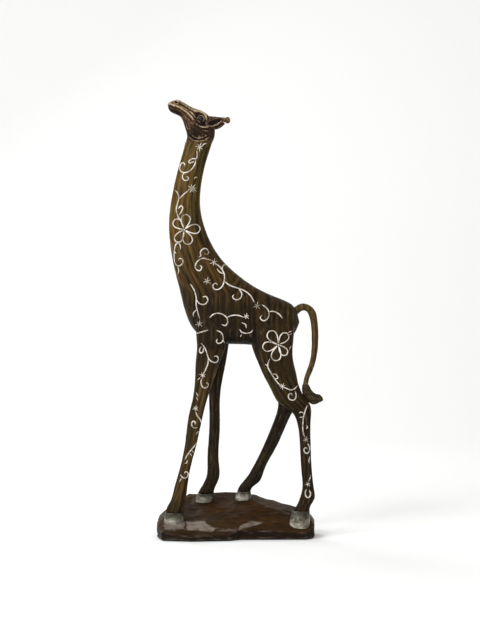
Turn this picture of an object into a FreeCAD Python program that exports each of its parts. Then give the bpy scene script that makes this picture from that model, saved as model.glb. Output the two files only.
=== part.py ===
"""A carved giraffe statue, 601 mm tall, looking up with its muzzle raised.

The animal faces -X and stands on a faceted rock; its left side is -Y. The origin is on the table
under the middle of the rock, with +Z up. The blank is glued up from separate carvings: the trunk,
the neck, the head and four legs meet at flat joint faces with dowels across them. The hooves are
screwed up through the rock, and the horns, ears, eyes and tail are let into sockets.
The silvered scrollwork is a raised line laid on the outer faces.
"""

import math
import os

import FreeCAD
import Part

V = FreeCAD.Vector

# Overall sizes, in millimetres. The profiles below are drawn for DRAWN and stretched to these.
statue_height = 601.0
statue_length = 228.0
statue_depth = 106.0
DRAWN = {"height": 601.0, "length": 228.0, "depth": 106.0}

# Joint faces of the blank, as heights on the drawing
neck_joint_height = 365.0
head_joint_height = 541.0
front_joint_height = 258.0
hind_joint_height = 232.0

# Dowels across the joint faces; each stands on the floor of its lower hole
neck_dowel_radius = 6.0
neck_dowel_length = 60.0
head_dowel_radius = 4.0
head_dowel_length = 28.0
leg_dowel_radius = 4.0
leg_dowel_length = 36.0
dowel_clearance = 0.1
dowel_end_gap = 1.5

# Screws from under the rock, through the hooves and into the legs
screw_radius = 2.0
screw_head_radius = 4.0
screw_head_height = 2.6
screw_head_recess = 4.0
screw_bite = 12.0
screw_clearance = 0.3
head_clearance = 0.6
pilot_clearance = 0.05

# Felt under the rock
felt_thickness = 1.5
felt_margin = 3.0

# Horns, ears and eyes
horn_radius = 2.3
horn_knob_radius = 3.7
horn_length = 27.0
horn_depth = 7.0
horn_spacing = 12.0
ear_length = 27.0
ear_width = 12.5
ear_thickness = 5.0
ear_peg_radius = 1.6
ear_peg_length = 6.0
ear_splay = 14.0
ear_turn = 12.0
eye_radius = 3.8

# Tail joints
tail_tenon_radius = 3.0
tail_tenon_length = 14.0
tuft_peg_radius = 1.7
tuft_peg_length = 8.0
socket_clearance = 0.1
socket_end_gap = 1.0

# Face cuts
nostril_radius = 1.5
nostril_depth = 2.5
mouth_length = 12.0
mouth_gap = 1.0

# Raised scroll line
line_width = 2.3
line_relief = 0.9
torso_line_root = 9.0

# How square the sections are: 2 is an ellipse, more is a box with rounded corners
trunk_squareness = 2.7
leg_squareness = 2.8
head_squareness = 2.6
round_squareness = 2.0
section_points = 16

# Profiles down each limb: (front x, front z, back x, back z, half width)
TRUNK = [
    (-67.5, 561.0, -29.0, 560.0, 12.5),
    (-70.0, 541.0, -33.0, 541.0, 13.5),
    (-75.5, 520.0, -40.5, 517.5, 14.5),
    (-83.5, 490.0, -47.0, 488.5, 15.5),
    (-90.0, 457.0, -49.5, 458.0, 17.0),
    (-92.5, 426.5, -45.0, 430.5, 19.0),
    (-90.0, 396.0, -33.0, 400.5, 21.5),
    (-84.5, 366.0, -14.0, 374.0, 24.0),
    (-76.0, 332.0, 12.5, 351.5, 26.5),
    (-61.0, 288.0, 30.5, 340.0, 28.0),
    (-33.0, 267.0, 47.0, 332.0, 28.0),
    (5.5, 263.5, 62.0, 326.0, 28.0),
    (36.0, 262.0, 74.5, 320.0, 27.0),
    (65.0, 266.0, 83.0, 309.0, 22.0),
    (76.0, 273.0, 86.0, 300.0, 15.0),
    (82.0, 281.0, 87.5, 294.0, 7.0),
]
FRONT_LEFT = [
    (-48.0, 306.0, -16.0, 308.0, 6.0),
    (-54.5, 291.0, -8.5, 293.0, 11.0),
    (-54.5, 277.0, -9.5, 279.5, 12.5),
    (-53.5, 263.0, -12.5, 265.5, 12.5),
    (-55.0, 240.0, -21.0, 241.0, 11.5),
    (-56.0, 215.5, -30.0, 216.5, 10.0),
    (-59.5, 188.0, -39.0, 189.5, 9.0),
    (-64.5, 166.5, -45.0, 166.5, 8.3),
    (-70.0, 125.5, -54.0, 125.5, 7.2),
    (-78.0, 90.0, -63.0, 90.0, 7.0),
    (-85.5, 63.0, -67.0, 61.5, 7.6),
    (-90.0, 49.0, -69.0, 48.0, 8.0),
    (-94.5, 41.0, -70.5, 40.0, 8.2),
    (-95.5, 35.0, -71.0, 35.0, 8.5),
]
FRONT_RIGHT = [
    (-44.0, 306.0, -15.0, 308.0, 6.0),
    (-49.5, 290.0, -7.5, 292.0, 11.0),
    (-49.0, 262.0, -9.5, 265.0, 12.5),
    (-43.0, 233.0, -15.0, 233.0, 11.0),
    (-38.5, 205.0, -20.5, 205.0, 9.5),
    (-37.5, 180.0, -22.5, 180.0, 8.3),
    (-37.5, 144.0, -22.5, 144.0, 7.5),
    (-40.0, 102.0, -24.0, 102.0, 7.0),
    (-42.0, 77.0, -24.0, 75.5, 7.6),
    (-48.5, 64.5, -29.5, 63.0, 7.8),
    (-53.5, 55.5, -31.0, 55.5, 8.2),
]
HIND_LEFT = [
    (35.0, 307.0, 66.0, 311.0, 6.0),
    (25.0, 291.0, 77.0, 297.0, 11.0),
    (21.5, 277.0, 79.0, 282.0, 13.5),
    (21.5, 262.0, 78.0, 266.0, 14.0),
    (28.5, 242.5, 77.5, 246.5, 13.5),
    (38.0, 220.5, 82.0, 225.0, 12.5),
    (48.5, 200.5, 86.5, 206.0, 11.0),
    (57.0, 185.5, 93.5, 192.0, 10.0),
    (74.5, 173.0, 102.0, 178.5, 9.0),
    (82.5, 159.5, 102.0, 161.0, 8.0),
    (87.0, 127.0, 102.0, 127.0, 7.0),
    (89.5, 86.0, 104.0, 86.0, 7.0),
    (89.5, 63.0, 107.0, 63.0, 7.8),
    (86.0, 52.0, 107.0, 53.5, 8.0),
    (81.5, 42.5, 101.5, 43.5, 7.6),
    (77.5, 37.5, 100.5, 37.5, 8.2),
]
HIND_RIGHT = [
    (36.0, 307.0, 66.0, 311.0, 6.0),
    (28.0, 290.0, 78.0, 296.0, 11.0),
    (26.5, 262.0, 79.5, 265.0, 14.0),
    (38.0, 224.5, 79.5, 226.0, 12.5),
    (51.5, 197.0, 85.0, 198.0, 11.0),
    (58.0, 184.0, 86.5, 184.0, 10.0),
    (58.0, 174.5, 81.0, 173.0, 9.0),
    (52.0, 155.0, 71.0, 153.5, 8.0),
    (38.0, 121.5, 56.0, 120.0, 7.2),
    (21.0, 88.0, 39.0, 87.0, 7.2),
    (11.5, 74.0, 32.0, 71.5, 7.8),
    (4.0, 64.5, 22.5, 63.5, 7.6),
    (1.5, 58.5, 20.5, 58.5, 8.0),
]
HEAD = [
    (-94.4, 593.0, -93.4, 596.0, 2.8),
    (-91.5, 585.5, -87.5, 599.0, 6.2),
    (-84.5, 580.8, -79.5, 600.2, 7.5),
    (-76.0, 576.3, -68.0, 594.2, 8.0),
    (-72.0, 567.5, -56.0, 588.2, 10.5),
    (-69.5, 559.5, -45.5, 584.2, 13.6),
    (-67.5, 552.0, -34.0, 574.0, 14.6),
    (-68.0, 546.0, -29.0, 558.0, 14.2),
    (-70.0, 541.0, -33.0, 541.0, 13.5),
]
# Each leg: its profile, its side, its joint face, and its sole (front x, back x, z, half width)
LEGS = {
    "front_left": (FRONT_LEFT, -1, front_joint_height, (-98.0, -71.0, 24.0, 9.6)),
    "front_right": (FRONT_RIGHT, 1, front_joint_height, (-57.0, -32.0, 46.0, 9.4)),
    "hind_left": (HIND_LEFT, -1, hind_joint_height, (73.0, 100.5, 26.0, 9.6)),
    "hind_right": (HIND_RIGHT, 1, hind_joint_height, (-1.5, 21.5, 48.5, 9.2)),
}
# Middle of the legs from the centre plane, at the top and at the hoof
leg_top_spread = 16.5
leg_foot_spread = 21.0
leg_top_height = 300.0

# Tail: (x, y, z, radius) along its middle, from inside the rump to the tuft
TAIL = [
    (77.0, 0.0, 303.0, 5.6),
    (84.0, 0.0, 311.0, 5.2),
    (92.5, -0.5, 315.0, 5.0),
    (101.5, -1.5, 311.0, 5.0),
    (107.0, -3.0, 297.0, 5.0),
    (108.5, -5.5, 276.0, 4.8),
    (107.5, -8.0, 254.0, 4.3),
    (103.5, -11.0, 235.0, 3.9),
    (98.0, -14.0, 221.0, 3.7),
    (95.0, -16.0, 209.5, 3.7),
]
# Tuft: (front x, front z, back x, back z, half width) from the tail's end to the flicked tip
TUFT = [
    (90.9, 209.5, 99.1, 209.5, 4.1),
    (90.5, 198.0, 102.5, 203.0, 5.5),
    (96.5, 187.0, 107.0, 197.5, 6.5),
    (106.0, 181.5, 111.5, 196.0, 6.0),
    (113.5, 184.0, 115.5, 194.5, 4.0),
    (118.6, 186.0, 119.4, 189.0, 1.5),
]
tuft_side = -16.0

# Where the face pieces sit, on the drawing: (x, y of the left one, z)
EYE = (-48.0, -12.0, 572.5)
EAR = (-41.0, -12.5, 565.0)
HORN = (-38.5, 575.0)
NOSTRIL = (-82.5, -6.6, 596.3)
MOUTH = (-94.6, 592.8)
mouth_fall = 24.0
horn_slope = -6.0

# Rock: its outline in plan, then the facets cut off it as planes (x, y, z, slope along x, slope along y)
ROCK_OUTLINE = [
    (-108, -20), (-100, -46), (-60, -53), (-8, -47), (6, -38), (95, -36), (107, -25),
    (109, 18), (94, 40), (40, 50), (-30, 53), (-82, 46), (-107, 18),
]
ROCK_FACETS = [
    (-83, -21, 24.5, 0.05, 0.51),
    (20, 21, 50, -0.215, 0.22),
    (-105, 0, 25, 0.62, 0.12),
    (-20, 30, 57, -0.03, -0.12),
    (-20, 44, 40, 0.04, -1.7),
    (-60, -44, 19, 0.02, 0.95),
    (20, -36, 15, -0.08, 0.8),
    (60, -36, 18.5, 0.0, 0.7),
    (104, 0, 24, -1.0, 0.1),
    (-100, -40, 17, 1.1, 0.7),
    (88, 36, 22, -0.5, -1.0),
]
rock_block_height = 70.0

# Scroll lines as points (x, z) on the side view; those of a trunk run over the neck and the body
TRUNK_LINES = [
    [(-54, 528), (-53.5, 523), (-54, 518), (-59.5, 518), (-64.5, 514), (-63, 511), (-58.5, 513)],
    [(-46.5, 535.5), (-43, 538), (-40, 538.5)],
    [(-56, 515), (-57, 508), (-61, 502.5), (-66.5, 499), (-72, 498.5), (-76, 502), (-76.5, 507),
     (-74.5, 511.5), (-71, 512), (-69, 509), (-71, 506.5)],
    [(-70, 498), (-73, 494.5), (-72.5, 490), (-69, 487.5), (-65.5, 489), (-65.5, 492.5)],
    [(-56, 489), (-56, 492.5), (-53, 493.5)],
    [(-64.5, 474.5), (-71, 468.5), (-78.5, 461.5)],
    [(-83.5, 474.5), (-79.5, 470), (-78, 464), (-80.5, 455), (-81.5, 446.5), (-79.5, 439.5), (-76, 434)],
    [(-78.5, 447), (-75.5, 452.5), (-72.5, 450), (-74.5, 444), (-78, 438.5)],
    [(-78.5, 402), (-82, 398), (-83.5, 391), (-84, 383), (-82.5, 375.5), (-79, 371.5), (-74.5, 372),
     (-72, 376), (-74, 380.5), (-77.5, 379.5)],
    [(-78, 402), (-75.5, 399), (-75, 393)],
    [(-81.5, 374), (-79.5, 366), (-80, 359)],
    [(-53, 378), (-49, 382), (-48.5, 388), (-46, 393), (-41.5, 394.5), (-37.5, 391.5), (-38, 387),
     (-42, 386.5)],
    [(-34, 378.5), (-39.5, 380.5), (-46, 381), (-51.5, 378), (-55, 372.5), (-54.5, 367), (-50.5, 364.5),
     (-47, 366.5), (-48, 370)],
    [(-26.5, 372.5), (-20.5, 367.5), (-17, 361), (-16, 353), (-17, 345), (-21, 339), (-27, 337.5),
     (-31, 341), (-29.5, 346), (-25.5, 346)],
    [(-25.5, 367), (-22.5, 362.5), (-17.5, 360)],
    [(-19, 366), (-18, 371), (-14.5, 372)],
    [(-16.5, 350), (-8, 344), (2, 340.5), (12, 336.5), (20, 330), (25, 321)],
    [(4, 339.5), (8, 333), (6, 326.5), (0, 324.5), (-4.5, 328), (-2.5, 333)],
    [(-62, 346), (-57, 338), (-54, 328), (-54, 317), (-51.5, 306), (-49, 298)],
    [(-54, 325), (-49, 319), (-42, 318.5), (-38, 323.5), (-40.5, 329), (-45.5, 328)],
    [(-54, 311), (-58, 306), (-57.5, 301)],
    [(-36, 300), (-30, 305), (-22, 306), (-14, 302), (-11, 295), (-14, 289.5), (-19.5, 291)],
    [(-13, 300), (-6, 303), (2, 303.5), (10, 301)],
    [(5.5, 284.5), (8.5, 280.5), (14.5, 279), (20.5, 280.5), (23, 284)],
    [(7.5, 277.5), (5.5, 274)],
    [(18.5, 277), (20, 273.5)],
    [(14, 285), (13, 291), (7.5, 293.5)],
    [(35, 318), (42, 313), (45, 306), (43, 299), (37.5, 296), (33, 299.5), (35.5, 304)],
    [(45.5, 308.5), (52, 308.5), (58.5, 305), (63, 299.5)],
]
TRUNK_STARS = [
    (-50.5, 533, 5.5), (-59.5, 477, 6.5), (-30, 375.5, 5.5), (-39, 350, 5.5), (-50, 292, 5.5),
    (28.5, 316, 5.5), (14, 302, 4.5),
]
FRONT_LINES = [
    [(-54, 279), (-47, 281), (-37, 284)],
    [(-27, 283), (-20.5, 279.5), (-18, 273), (-20, 267), (-24.5, 265.5), (-27, 269), (-24, 272)],
    [(-18.5, 270), (-16, 265)],
    [(-48, 265.5), (-43, 260), (-40, 253.5), (-38, 247), (-35.5, 242.5), (-31.5, 240.5), (-27.5, 240.5),
     (-25, 243.5), (-26.5, 247.5), (-30, 247.5)],
    [(-43.5, 259), (-44.5, 254), (-47.5, 252.5), (-49.5, 256), (-47.5, 260.5)],
    [(-37.5, 245), (-38, 238), (-40, 231), (-42.5, 226)],
    [(-48.5, 219), (-52, 215.5)],
    [(-46.5, 218), (-47, 211), (-44, 205), (-39.5, 205), (-37.5, 209), (-40.5, 212)],
    [(-54, 199), (-51, 193.5)],
    [(-53, 191.5), (-51, 186.5)],
    [(-54, 173), (-52, 167), (-48.5, 161.5), (-48, 155), (-50, 150)],
    [(-53.5, 150.5), (-57.5, 150), (-60.5, 153), (-60.5, 158), (-57, 160), (-55, 156.5)],
    [(-50, 145), (-53.5, 143.5), (-54.5, 140)],
    [(-54, 131), (-57.5, 124.5), (-62, 118.5), (-66, 112.5), (-69, 106)],
    [(-63, 116), (-59.5, 110.5)],
    [(-66, 105.5), (-67, 101), (-70, 100.5)],
    [(-75, 88), (-73, 84.5), (-69, 83.5), (-65.5, 86), (-66, 90.5), (-70, 91.5)],
    [(-74, 81), (-76.5, 76.5)],
]
FRONT_STARS = [(-45, 222.5, 5), (-54.5, 177, 4)]
HIND_LINES = [
    [(70.5, 279.5), (76, 281.5)],
    [(71.5, 275.5), (75.5, 277.5)],
    [(75, 262), (72.5, 259), (72.5, 254)],
    [(46, 244.5), (43.5, 239.5), (43, 233.5), (46, 227), (50, 220.5), (54, 214.5), (58.5, 210)],
    [(39, 238), (43, 235)],
    [(49.5, 222.5), (54, 224), (57.5, 219), (53.5, 215.5)],
    [(66.5, 205.5), (71, 203), (76, 202.5), (80.5, 204.5), (83, 208)],
    [(80, 199), (81.5, 194.5), (79.5, 190), (75.5, 188.5), (71.5, 191), (72, 195.5), (76, 196)],
    [(97, 181), (94.5, 175), (92, 167), (91, 158.5), (91.5, 149.5), (93, 142)],
    [(85.5, 171), (89, 172.5), (92.5, 170)],
    [(86, 165), (89, 163.5), (91.5, 163.5)],
    [(95, 155), (97.5, 152), (95, 148.5)],
    [(97.5, 130), (99.5, 125), (99.5, 119.5), (96.5, 116.5), (92.5, 118), (92, 122.5), (95.5, 123)],
    [(100.5, 110.5), (98.5, 106.5), (99.5, 102)],
    [(101.5, 86.5), (98.5, 80)],
    [(95.5, 67.5), (93.5, 62), (96, 57), (100, 57), (102, 61.5), (100, 66.5)],
]
HIND_STARS = [(63, 207, 5), (95, 135.5, 3.8), (97, 74.5, 3.8)]
# Flowers: (x, z, petals), each petal (angle from +X towards +Z in degrees, length)
TRUNK_FLOWER = (-70.5, 420.0, [(82, 20), (5, 21), (-70, 20), (-125, 19), (137, 18)])
HIND_FLOWER = (56.5, 263.5, [(125, 21), (51, 18.5), (-51, 17), (-102, 21), (190, 21)])
star_rays = 6
star_waist = 1.6
flower_dot = 3.0
smallest_stroke = 1.5
petal_root = 1.0
petal_width = 0.56


def stretch(name):
    """How much the drawing is stretched in one direction."""
    size = {"height": statue_height, "length": statue_length, "depth": statue_depth}[name]
    return size / DRAWN[name]


def at(x, y, z):
    """A point of the drawing in the statue's frame."""
    return V(x * stretch("length"), y * stretch("depth"), z * stretch("height"))


def section(front, back, half_width, squareness, grow=0.0):
    """Points round a section between two profile points, half_width to each side of its middle."""
    middle = (front + back) * 0.5
    long_half = (back - front).Length / 2 + grow
    along = (back - front).normalize()
    points = []
    for i in range(section_points):
        turn = 2 * math.pi * i / section_points
        c, s = math.cos(turn), math.sin(turn)
        reach = math.copysign(abs(c) ** (2 / squareness), c) * long_half
        side = math.copysign(abs(s) ** (2 / squareness), s) * (half_width + grow)
        points.append(middle + along * reach + V(0, side, 0))
    return points


def skin(sections):
    """A solid with one smooth skin through a row of sections and a flat cap at each end."""
    around = [i / section_points for i in range(section_points + 1)]
    rings = []
    for points in sections:
        ring = Part.BSplineCurve()
        ring.interpolate(Points=points, PeriodicFlag=True, Parameters=around)
        rings.append(ring)
    middles = [sum(points, V()) * (1 / section_points) for points in sections]
    along = [0.0]
    for here, there in zip(middles, middles[1:]):
        along.append(along[-1] + (there - here).Length)
    poles = []
    for i in range(1, rings[0].NbPoles + 1):
        line = Part.BSplineCurve()
        line.interpolate(Points=[ring.getPole(i) for ring in rings], Parameters=along)
        poles.append(line.getPoles())
    ring = rings[0]
    surface = Part.BSplineSurface()
    surface.buildFromPolesMultsKnots(
        poles, ring.getMultiplicities(), line.getMultiplicities(), ring.getKnots(), line.getKnots(),
        True, False, ring.Degree, line.Degree,
    )
    side = surface.toShape()
    caps = [Part.Face(Part.Wire([edge])) for edge in side.Edges if edge.isClosed()]
    sewn = Part.Compound([side] + caps)
    sewn.sewShape()
    solid = Part.Solid(sewn.Shells[0])
    if solid.Volume < 0:
        solid.reverse()
    return solid


def profile_loft(stations, squareness, spread=None, grow=0.0):
    """A solid through a profile's stations. spread(z) puts the middle of each section off centre."""
    sections = []
    for front_x, front_z, back_x, back_z, half_width in stations:
        y = spread((front_z + back_z) / 2) if spread else 0.0
        front, back = at(front_x, y, front_z), at(back_x, y, back_z)
        sections.append(section(front, back, half_width * stretch("depth"), squareness, grow))
    return skin(sections)


def leg_spread(side, sole_z):
    """Where a leg's middle is at each height: it splays a little from the top to the hoof."""
    def place(z):
        share = min(1.0, max(0.0, (leg_top_height - z) / (leg_top_height - sole_z)))
        return side * (leg_top_spread + (leg_foot_spread - leg_top_spread) * share)
    return place


def edges_at(stations, height):
    """Front x and back x of a profile at a height on the drawing, read between its stations."""
    for upper, lower in zip(stations, stations[1:]):
        high, low = (upper[1] + upper[3]) / 2, (lower[1] + lower[3]) / 2
        if low <= height <= high:
            share = (high - height) / (high - low)
            return [upper[k] + (lower[k] - upper[k]) * share for k in (0, 2)]
    raise ValueError("the profile doesn't reach that height")


def middle_at(stations, height):
    """The middle x of a profile at a height on the drawing."""
    return sum(edges_at(stations, height)) / 2


def slab(low, high):
    """A box across the whole statue between two heights."""
    reach = 2 * (statue_length + statue_depth)
    return Part.makeBox(2 * reach, 2 * reach, high - low, V(-reach, -reach, low))


def upright(radius, spot, low, high):
    """A vertical cylinder through a spot, between two heights."""
    return Part.makeCylinder(radius, high - low, V(spot.x, spot.y, low))


def rod(radius, start, way, length):
    """A cylinder from a start point along a direction."""
    return Part.makeCylinder(radius, length, start, way)


def largest(shape):
    """The biggest solid of a shape, without the slivers a cut leaves."""
    return max(shape.Solids, key=lambda solid: solid.Volume)


def above_plane(x, y, z, slope_x, slope_y):
    """The space above a sloping plane, as a tall prism."""
    reach = 3 * (statue_length + statue_depth)
    middle = at(x, y, z)
    tilt_x = slope_x * stretch("height") / stretch("length")
    tilt_y = slope_y * stretch("height") / stretch("depth")
    corners = [(-reach, -reach), (reach, -reach), (reach, reach), (-reach, reach)]
    points = [middle + V(u, v, u * tilt_x + v * tilt_y) for u, v in corners]
    face = Part.Face(Part.makePolygon(points + [points[0]]))
    return face.extrude(V(0, 0, 20 * statue_height))


def make_rock():
    """The faceted rock, standing on its felt."""
    lift = V(0, 0, felt_thickness)
    points = [at(x, y, 0) + lift for x, y in ROCK_OUTLINE]
    face = Part.Face(Part.makePolygon(points + [points[0]]))
    rock = face.extrude(V(0, 0, rock_block_height * stretch("height")))
    for facet in ROCK_FACETS:
        rock = rock.cut(above_plane(*facet))
    return rock


def make_felt():
    """The felt, set in from the rock's edge."""
    points = [at(x, y, 0) for x, y in ROCK_OUTLINE]
    wire = Part.makePolygon(points + [points[0]])
    return Part.Face(wire.makeOffset2D(-felt_margin, 2)).extrude(V(0, 0, felt_thickness))


def make_hoof(stations, spread, sole, rock):
    """A hoof flaring from its leg's last section into the rock, which trims it to seat."""
    front_x, back_x, sole_z, half_width = sole
    coronet = stations[-1]
    below = (front_x, sole_z - 14.0, back_x, sole_z - 14.0, half_width)
    ground = (front_x, sole_z, back_x, sole_z, half_width)
    block = profile_loft([coronet, ground, below], leg_squareness, spread)
    return largest(block.cut(rock))


def make_dowel(radius, length, spot, height):
    """A dowel across a joint face: the dowel, and the hole with room round it and above it."""
    low = height - length / 2
    dowel = upright(radius, spot, low, low + length)
    hole = upright(radius + dowel_clearance, spot, low, low + length + dowel_end_gap)
    return dowel, hole


def make_foot_screw(spot, coronet_z):
    """A screw up through rock and hoof: the screw, its way through them, and the leg's pilot hole."""
    head_low = felt_thickness + screw_head_recess - screw_head_height
    head_top = felt_thickness + screw_head_recess
    tip = coronet_z + screw_bite
    head = upright(screw_head_radius, spot, head_low, head_top)
    screw = head.fuse(upright(screw_radius, spot, head_top, tip))
    way = upright(screw_radius + screw_clearance, spot, 0, coronet_z)
    counterbore = upright(screw_head_radius + head_clearance, spot, 0, head_top)
    pilot = upright(screw_radius + pilot_clearance, spot, coronet_z, tip + socket_end_gap)
    return screw, way.fuse(counterbore), pilot


def make_mouth():
    """The cut between the lips, falling back from the muzzle's tip."""
    reach = statue_depth
    cut = Part.makeBox(mouth_length, reach, mouth_gap, V(0, -reach / 2, -mouth_gap / 2))
    cut.Placement = FreeCAD.Placement(at(MOUTH[0], 0, MOUTH[1]), FreeCAD.Rotation(V(0, 1, 0), mouth_fall))
    return cut


def make_horn(side):
    """A horn with its spigot and knob, and the socket for the spigot."""
    slope = math.radians(horn_slope)
    way = V(math.cos(slope), 0, math.sin(slope))
    root = at(HORN[0], 0, HORN[1]) + V(0, side * horn_spacing / 2, 0)
    floor = root - way * horn_depth
    shaft = rod(horn_radius, floor, way, horn_depth + horn_length)
    knob = Part.makeSphere(horn_knob_radius, floor + way * (horn_depth + horn_length))
    socket = rod(horn_radius + socket_clearance, floor, way, horn_depth * 3)
    return shaft.fuse(knob), socket


def make_ear(side, head):
    """A leaf-shaped ear with a scooped outer face and a peg, and the socket for the peg."""
    shares = [(0.0, 0.55, 0.9), (0.25, 0.92, 1.0), (0.5, 1.0, 0.9), (0.78, 0.7, 0.7), (1.0, 0.12, 0.25)]
    sections = []
    for share, width, thickness in shares:
        x = share * ear_length
        bottom, top = V(x, 0, -width * ear_width / 2), V(x, 0, width * ear_width / 2)
        sections.append(section(bottom, top, thickness * ear_thickness / 2, round_squareness))
    ear = skin(sections)
    shape = FreeCAD.Matrix()
    shape.scale(ear_length * 0.34, ear_thickness * 0.6, ear_width * 0.33)
    scoop = Part.makeSphere(1.0).transformGeometry(shape)
    scoop.translate(V(ear_length * 0.5, side * ear_thickness * 0.62, 0))
    ear = ear.cut(scoop)
    placing = FreeCAD.Placement(
        at(EAR[0], -side * EAR[1], EAR[2]),
        FreeCAD.Rotation(V(0, 0, 1), side * ear_splay) * FreeCAD.Rotation(V(0, 1, 0), -ear_turn),
    )
    ear.Placement = placing
    ear = largest(ear.cut(head))
    mouth = placing.multVec(V(ear_thickness * 0.5, 0, 0))
    peg = rod(ear_peg_radius, mouth - V(0, side * ear_peg_length, 0), V(0, side, 0), ear_peg_length)
    room = rod(ear_peg_radius + socket_clearance, mouth - V(0, side * ear_peg_length, 0),
               V(0, side, 0), 2 * ear_peg_length)
    return ear.fuse(peg), room


def make_tail(torso):
    """The tail, seated on the rump with a tenon in it, and the tenon's socket."""
    spots = [at(x, y, z) for x, y, z, radius in TAIL]
    last = len(spots) - 1
    sections = []
    for i, spot in enumerate(spots):
        way = (spots[min(i + 1, last)] - spots[max(i - 1, 0)]).normalize()
        if i == last:
            way = V(0, 0, -1)
        across = way.cross(V(0, 1, 0)).normalize() * TAIL[i][3]
        sections.append(section(spot - across, spot + across, TAIL[i][3], round_squareness))
    tail = largest(skin(sections).cut(torso))
    way = (spots[2] - spots[0]).normalize()
    tenon_end = spots[1] - way * tail_tenon_length
    tenon = rod(tail_tenon_radius, tenon_end, way, tail_tenon_length)
    socket = rod(tail_tenon_radius + socket_clearance, tenon_end - way * socket_end_gap, way,
                 tail_tenon_length * 2)
    return tail.fuse(tenon), socket


def make_tuft(leg):
    """The tuft, resting on the hock, with a peg up into the tail: the tuft, and the peg's socket."""
    tuft = largest(profile_loft(TUFT, round_squareness, lambda z: tuft_side).cut(leg))
    front_x, front_z, back_x, back_z, half_width = TUFT[0]
    spot = at((front_x + back_x) / 2, tuft_side, 0)
    joint = front_z * stretch("height")
    peg = upright(tuft_peg_radius, spot, joint - 1.0, joint + tuft_peg_length)
    socket = upright(tuft_peg_radius + socket_clearance, spot, joint,
                     joint + tuft_peg_length + socket_end_gap)
    return tuft.fuse(peg), socket


def line_face(points):
    """A flat stroke of the scroll line's width along a smooth curve, with round ends."""
    curve = Part.BSplineCurve()
    curve.interpolate(Points=points)
    steps = 2 * len(points)
    first, last = curve.FirstParameter, curve.LastParameter
    left, right = [], []
    for i in range(steps + 1):
        u = first + (last - first) * i / steps
        way = V(curve.tangent(u)[0]).normalize()
        out = V(-way.z, 0, way.x) * (line_width / 2)
        left.append(curve.value(u) + out)
        right.append(curve.value(u) - out)
    start_way = V(curve.tangent(first)[0]).normalize() * (line_width / 2)
    end_way = V(curve.tangent(last)[0]).normalize() * (line_width / 2)
    side_a, side_b = Part.BSplineCurve(), Part.BSplineCurve()
    side_a.interpolate(Points=left)
    side_b.interpolate(Points=right[::-1])
    tip = Part.Arc(left[-1], points[-1] + end_way, right[-1])
    tail = Part.Arc(right[0], points[0] - start_way, left[0])
    return Part.Face(Part.Wire([side_a.toShape(), tip.toShape(), side_b.toShape(), tail.toShape()]))


def drop(middle, angle, root, tip, width):
    """A flat drop, pointing away from a flower's middle at an angle."""
    c, s = math.cos(math.radians(angle)), math.sin(math.radians(angle))
    length = tip - root
    half = [(0.0, 0.0), (0.3, 0.34), (0.62, 0.5), (0.88, 0.36)]
    outline = half + [(1.0, 0.0)] + [(share, -across) for share, across in half[:0:-1]]
    points = []
    for share, across in outline:
        u, w = root + share * length, across * width
        points.append(middle + V(c * u - s * w, 0, s * u + c * w))
    curve = Part.BSplineCurve()
    curve.interpolate(Points=points, PeriodicFlag=True)
    return Part.Face(Part.Wire([curve.toShape()]))


def petal(middle, angle, length):
    """A petal's outline as a raised line: a drop with a smaller drop cut out of it."""
    width = petal_width * length
    outer = drop(middle, angle, petal_root, length + line_width / 2, width + line_width)
    inner = drop(middle, angle, petal_root + 2 * line_width, length - line_width / 2, width - line_width)
    return outer.cut(inner).Faces[0]


def dot(middle, radius):
    """A flat disc on the plane y = 0."""
    return Part.Face(Part.Wire([Part.makeCircle(radius, middle, V(0, 1, 0))]))


def star(middle, size):
    """A flat star with pointed rays."""
    points = []
    for k in range(2 * star_rays):
        turn = math.pi * (k + 0.4) / star_rays
        reach = size if k % 2 == 0 else star_waist
        points.append(middle + V(math.cos(turn) * reach, 0, math.sin(turn) * reach))
    return Part.Face(Part.makePolygon(points + [points[0]]))


def scroll_strokes(lines, stars, flower=None, place=None):
    """Every stroke of a scroll as flat faces on the plane y = 0, each ending where it meets another."""
    put = place or (lambda x, z: at(x, 0, z))
    faces = [star(put(x, z), size) for x, z, size in stars]
    if flower:
        x, z, petals = flower
        faces.append(dot(put(x, z), flower_dot))
        faces.extend(petal(put(x, z), angle, length) for angle, length in petals)
    faces.extend(line_face([put(x, z) for x, z in line]) for line in lines)
    laid = []
    for face in faces:
        under = [other for other in laid if other.BoundBox.intersect(face.BoundBox)]
        free = face.cut(under).Faces if under else [face]
        laid.extend(piece for piece in free if piece.Area > smallest_stroke)
    return laid


def to_other_leg(name):
    """Puts a point drawn on the near leg of a pair at the same share of the other leg."""
    pair = name.split("_")[0]
    stations, _, _, sole = LEGS[pair + "_left"]
    other_stations, _, _, other_sole = LEGS[pair + "_right"]

    def put(x, z):
        if z > leg_top_height:
            return at(x, 0, z)
        front, back = edges_at(stations, z)
        share = (x - front) / (back - front)
        rise = (leg_top_height - other_sole[2]) / (leg_top_height - sole[2])
        other_z = leg_top_height - (leg_top_height - z) * rise
        other_front, other_back = edges_at(other_stations, other_z)
        return at(other_front + share * (other_back - other_front), 0, other_z)
    return put


def raised_lines(strokes, side, start, grown, body):
    """The raised lines: strokes pushed out to one side, kept inside the grown body and outside the body."""
    lines = []
    for stroke in strokes:
        prism = stroke.translated(V(0, side * start, 0)).extrude(V(0, side * statue_depth, 0))
        if prism.BoundBox.intersect(grown.BoundBox):
            pieces = prism.common(grown).cut(body).removeSplitter().Solids
            lines.extend(piece for piece in pieces if piece.Volume > smallest_stroke * line_relief)
    return lines


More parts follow.
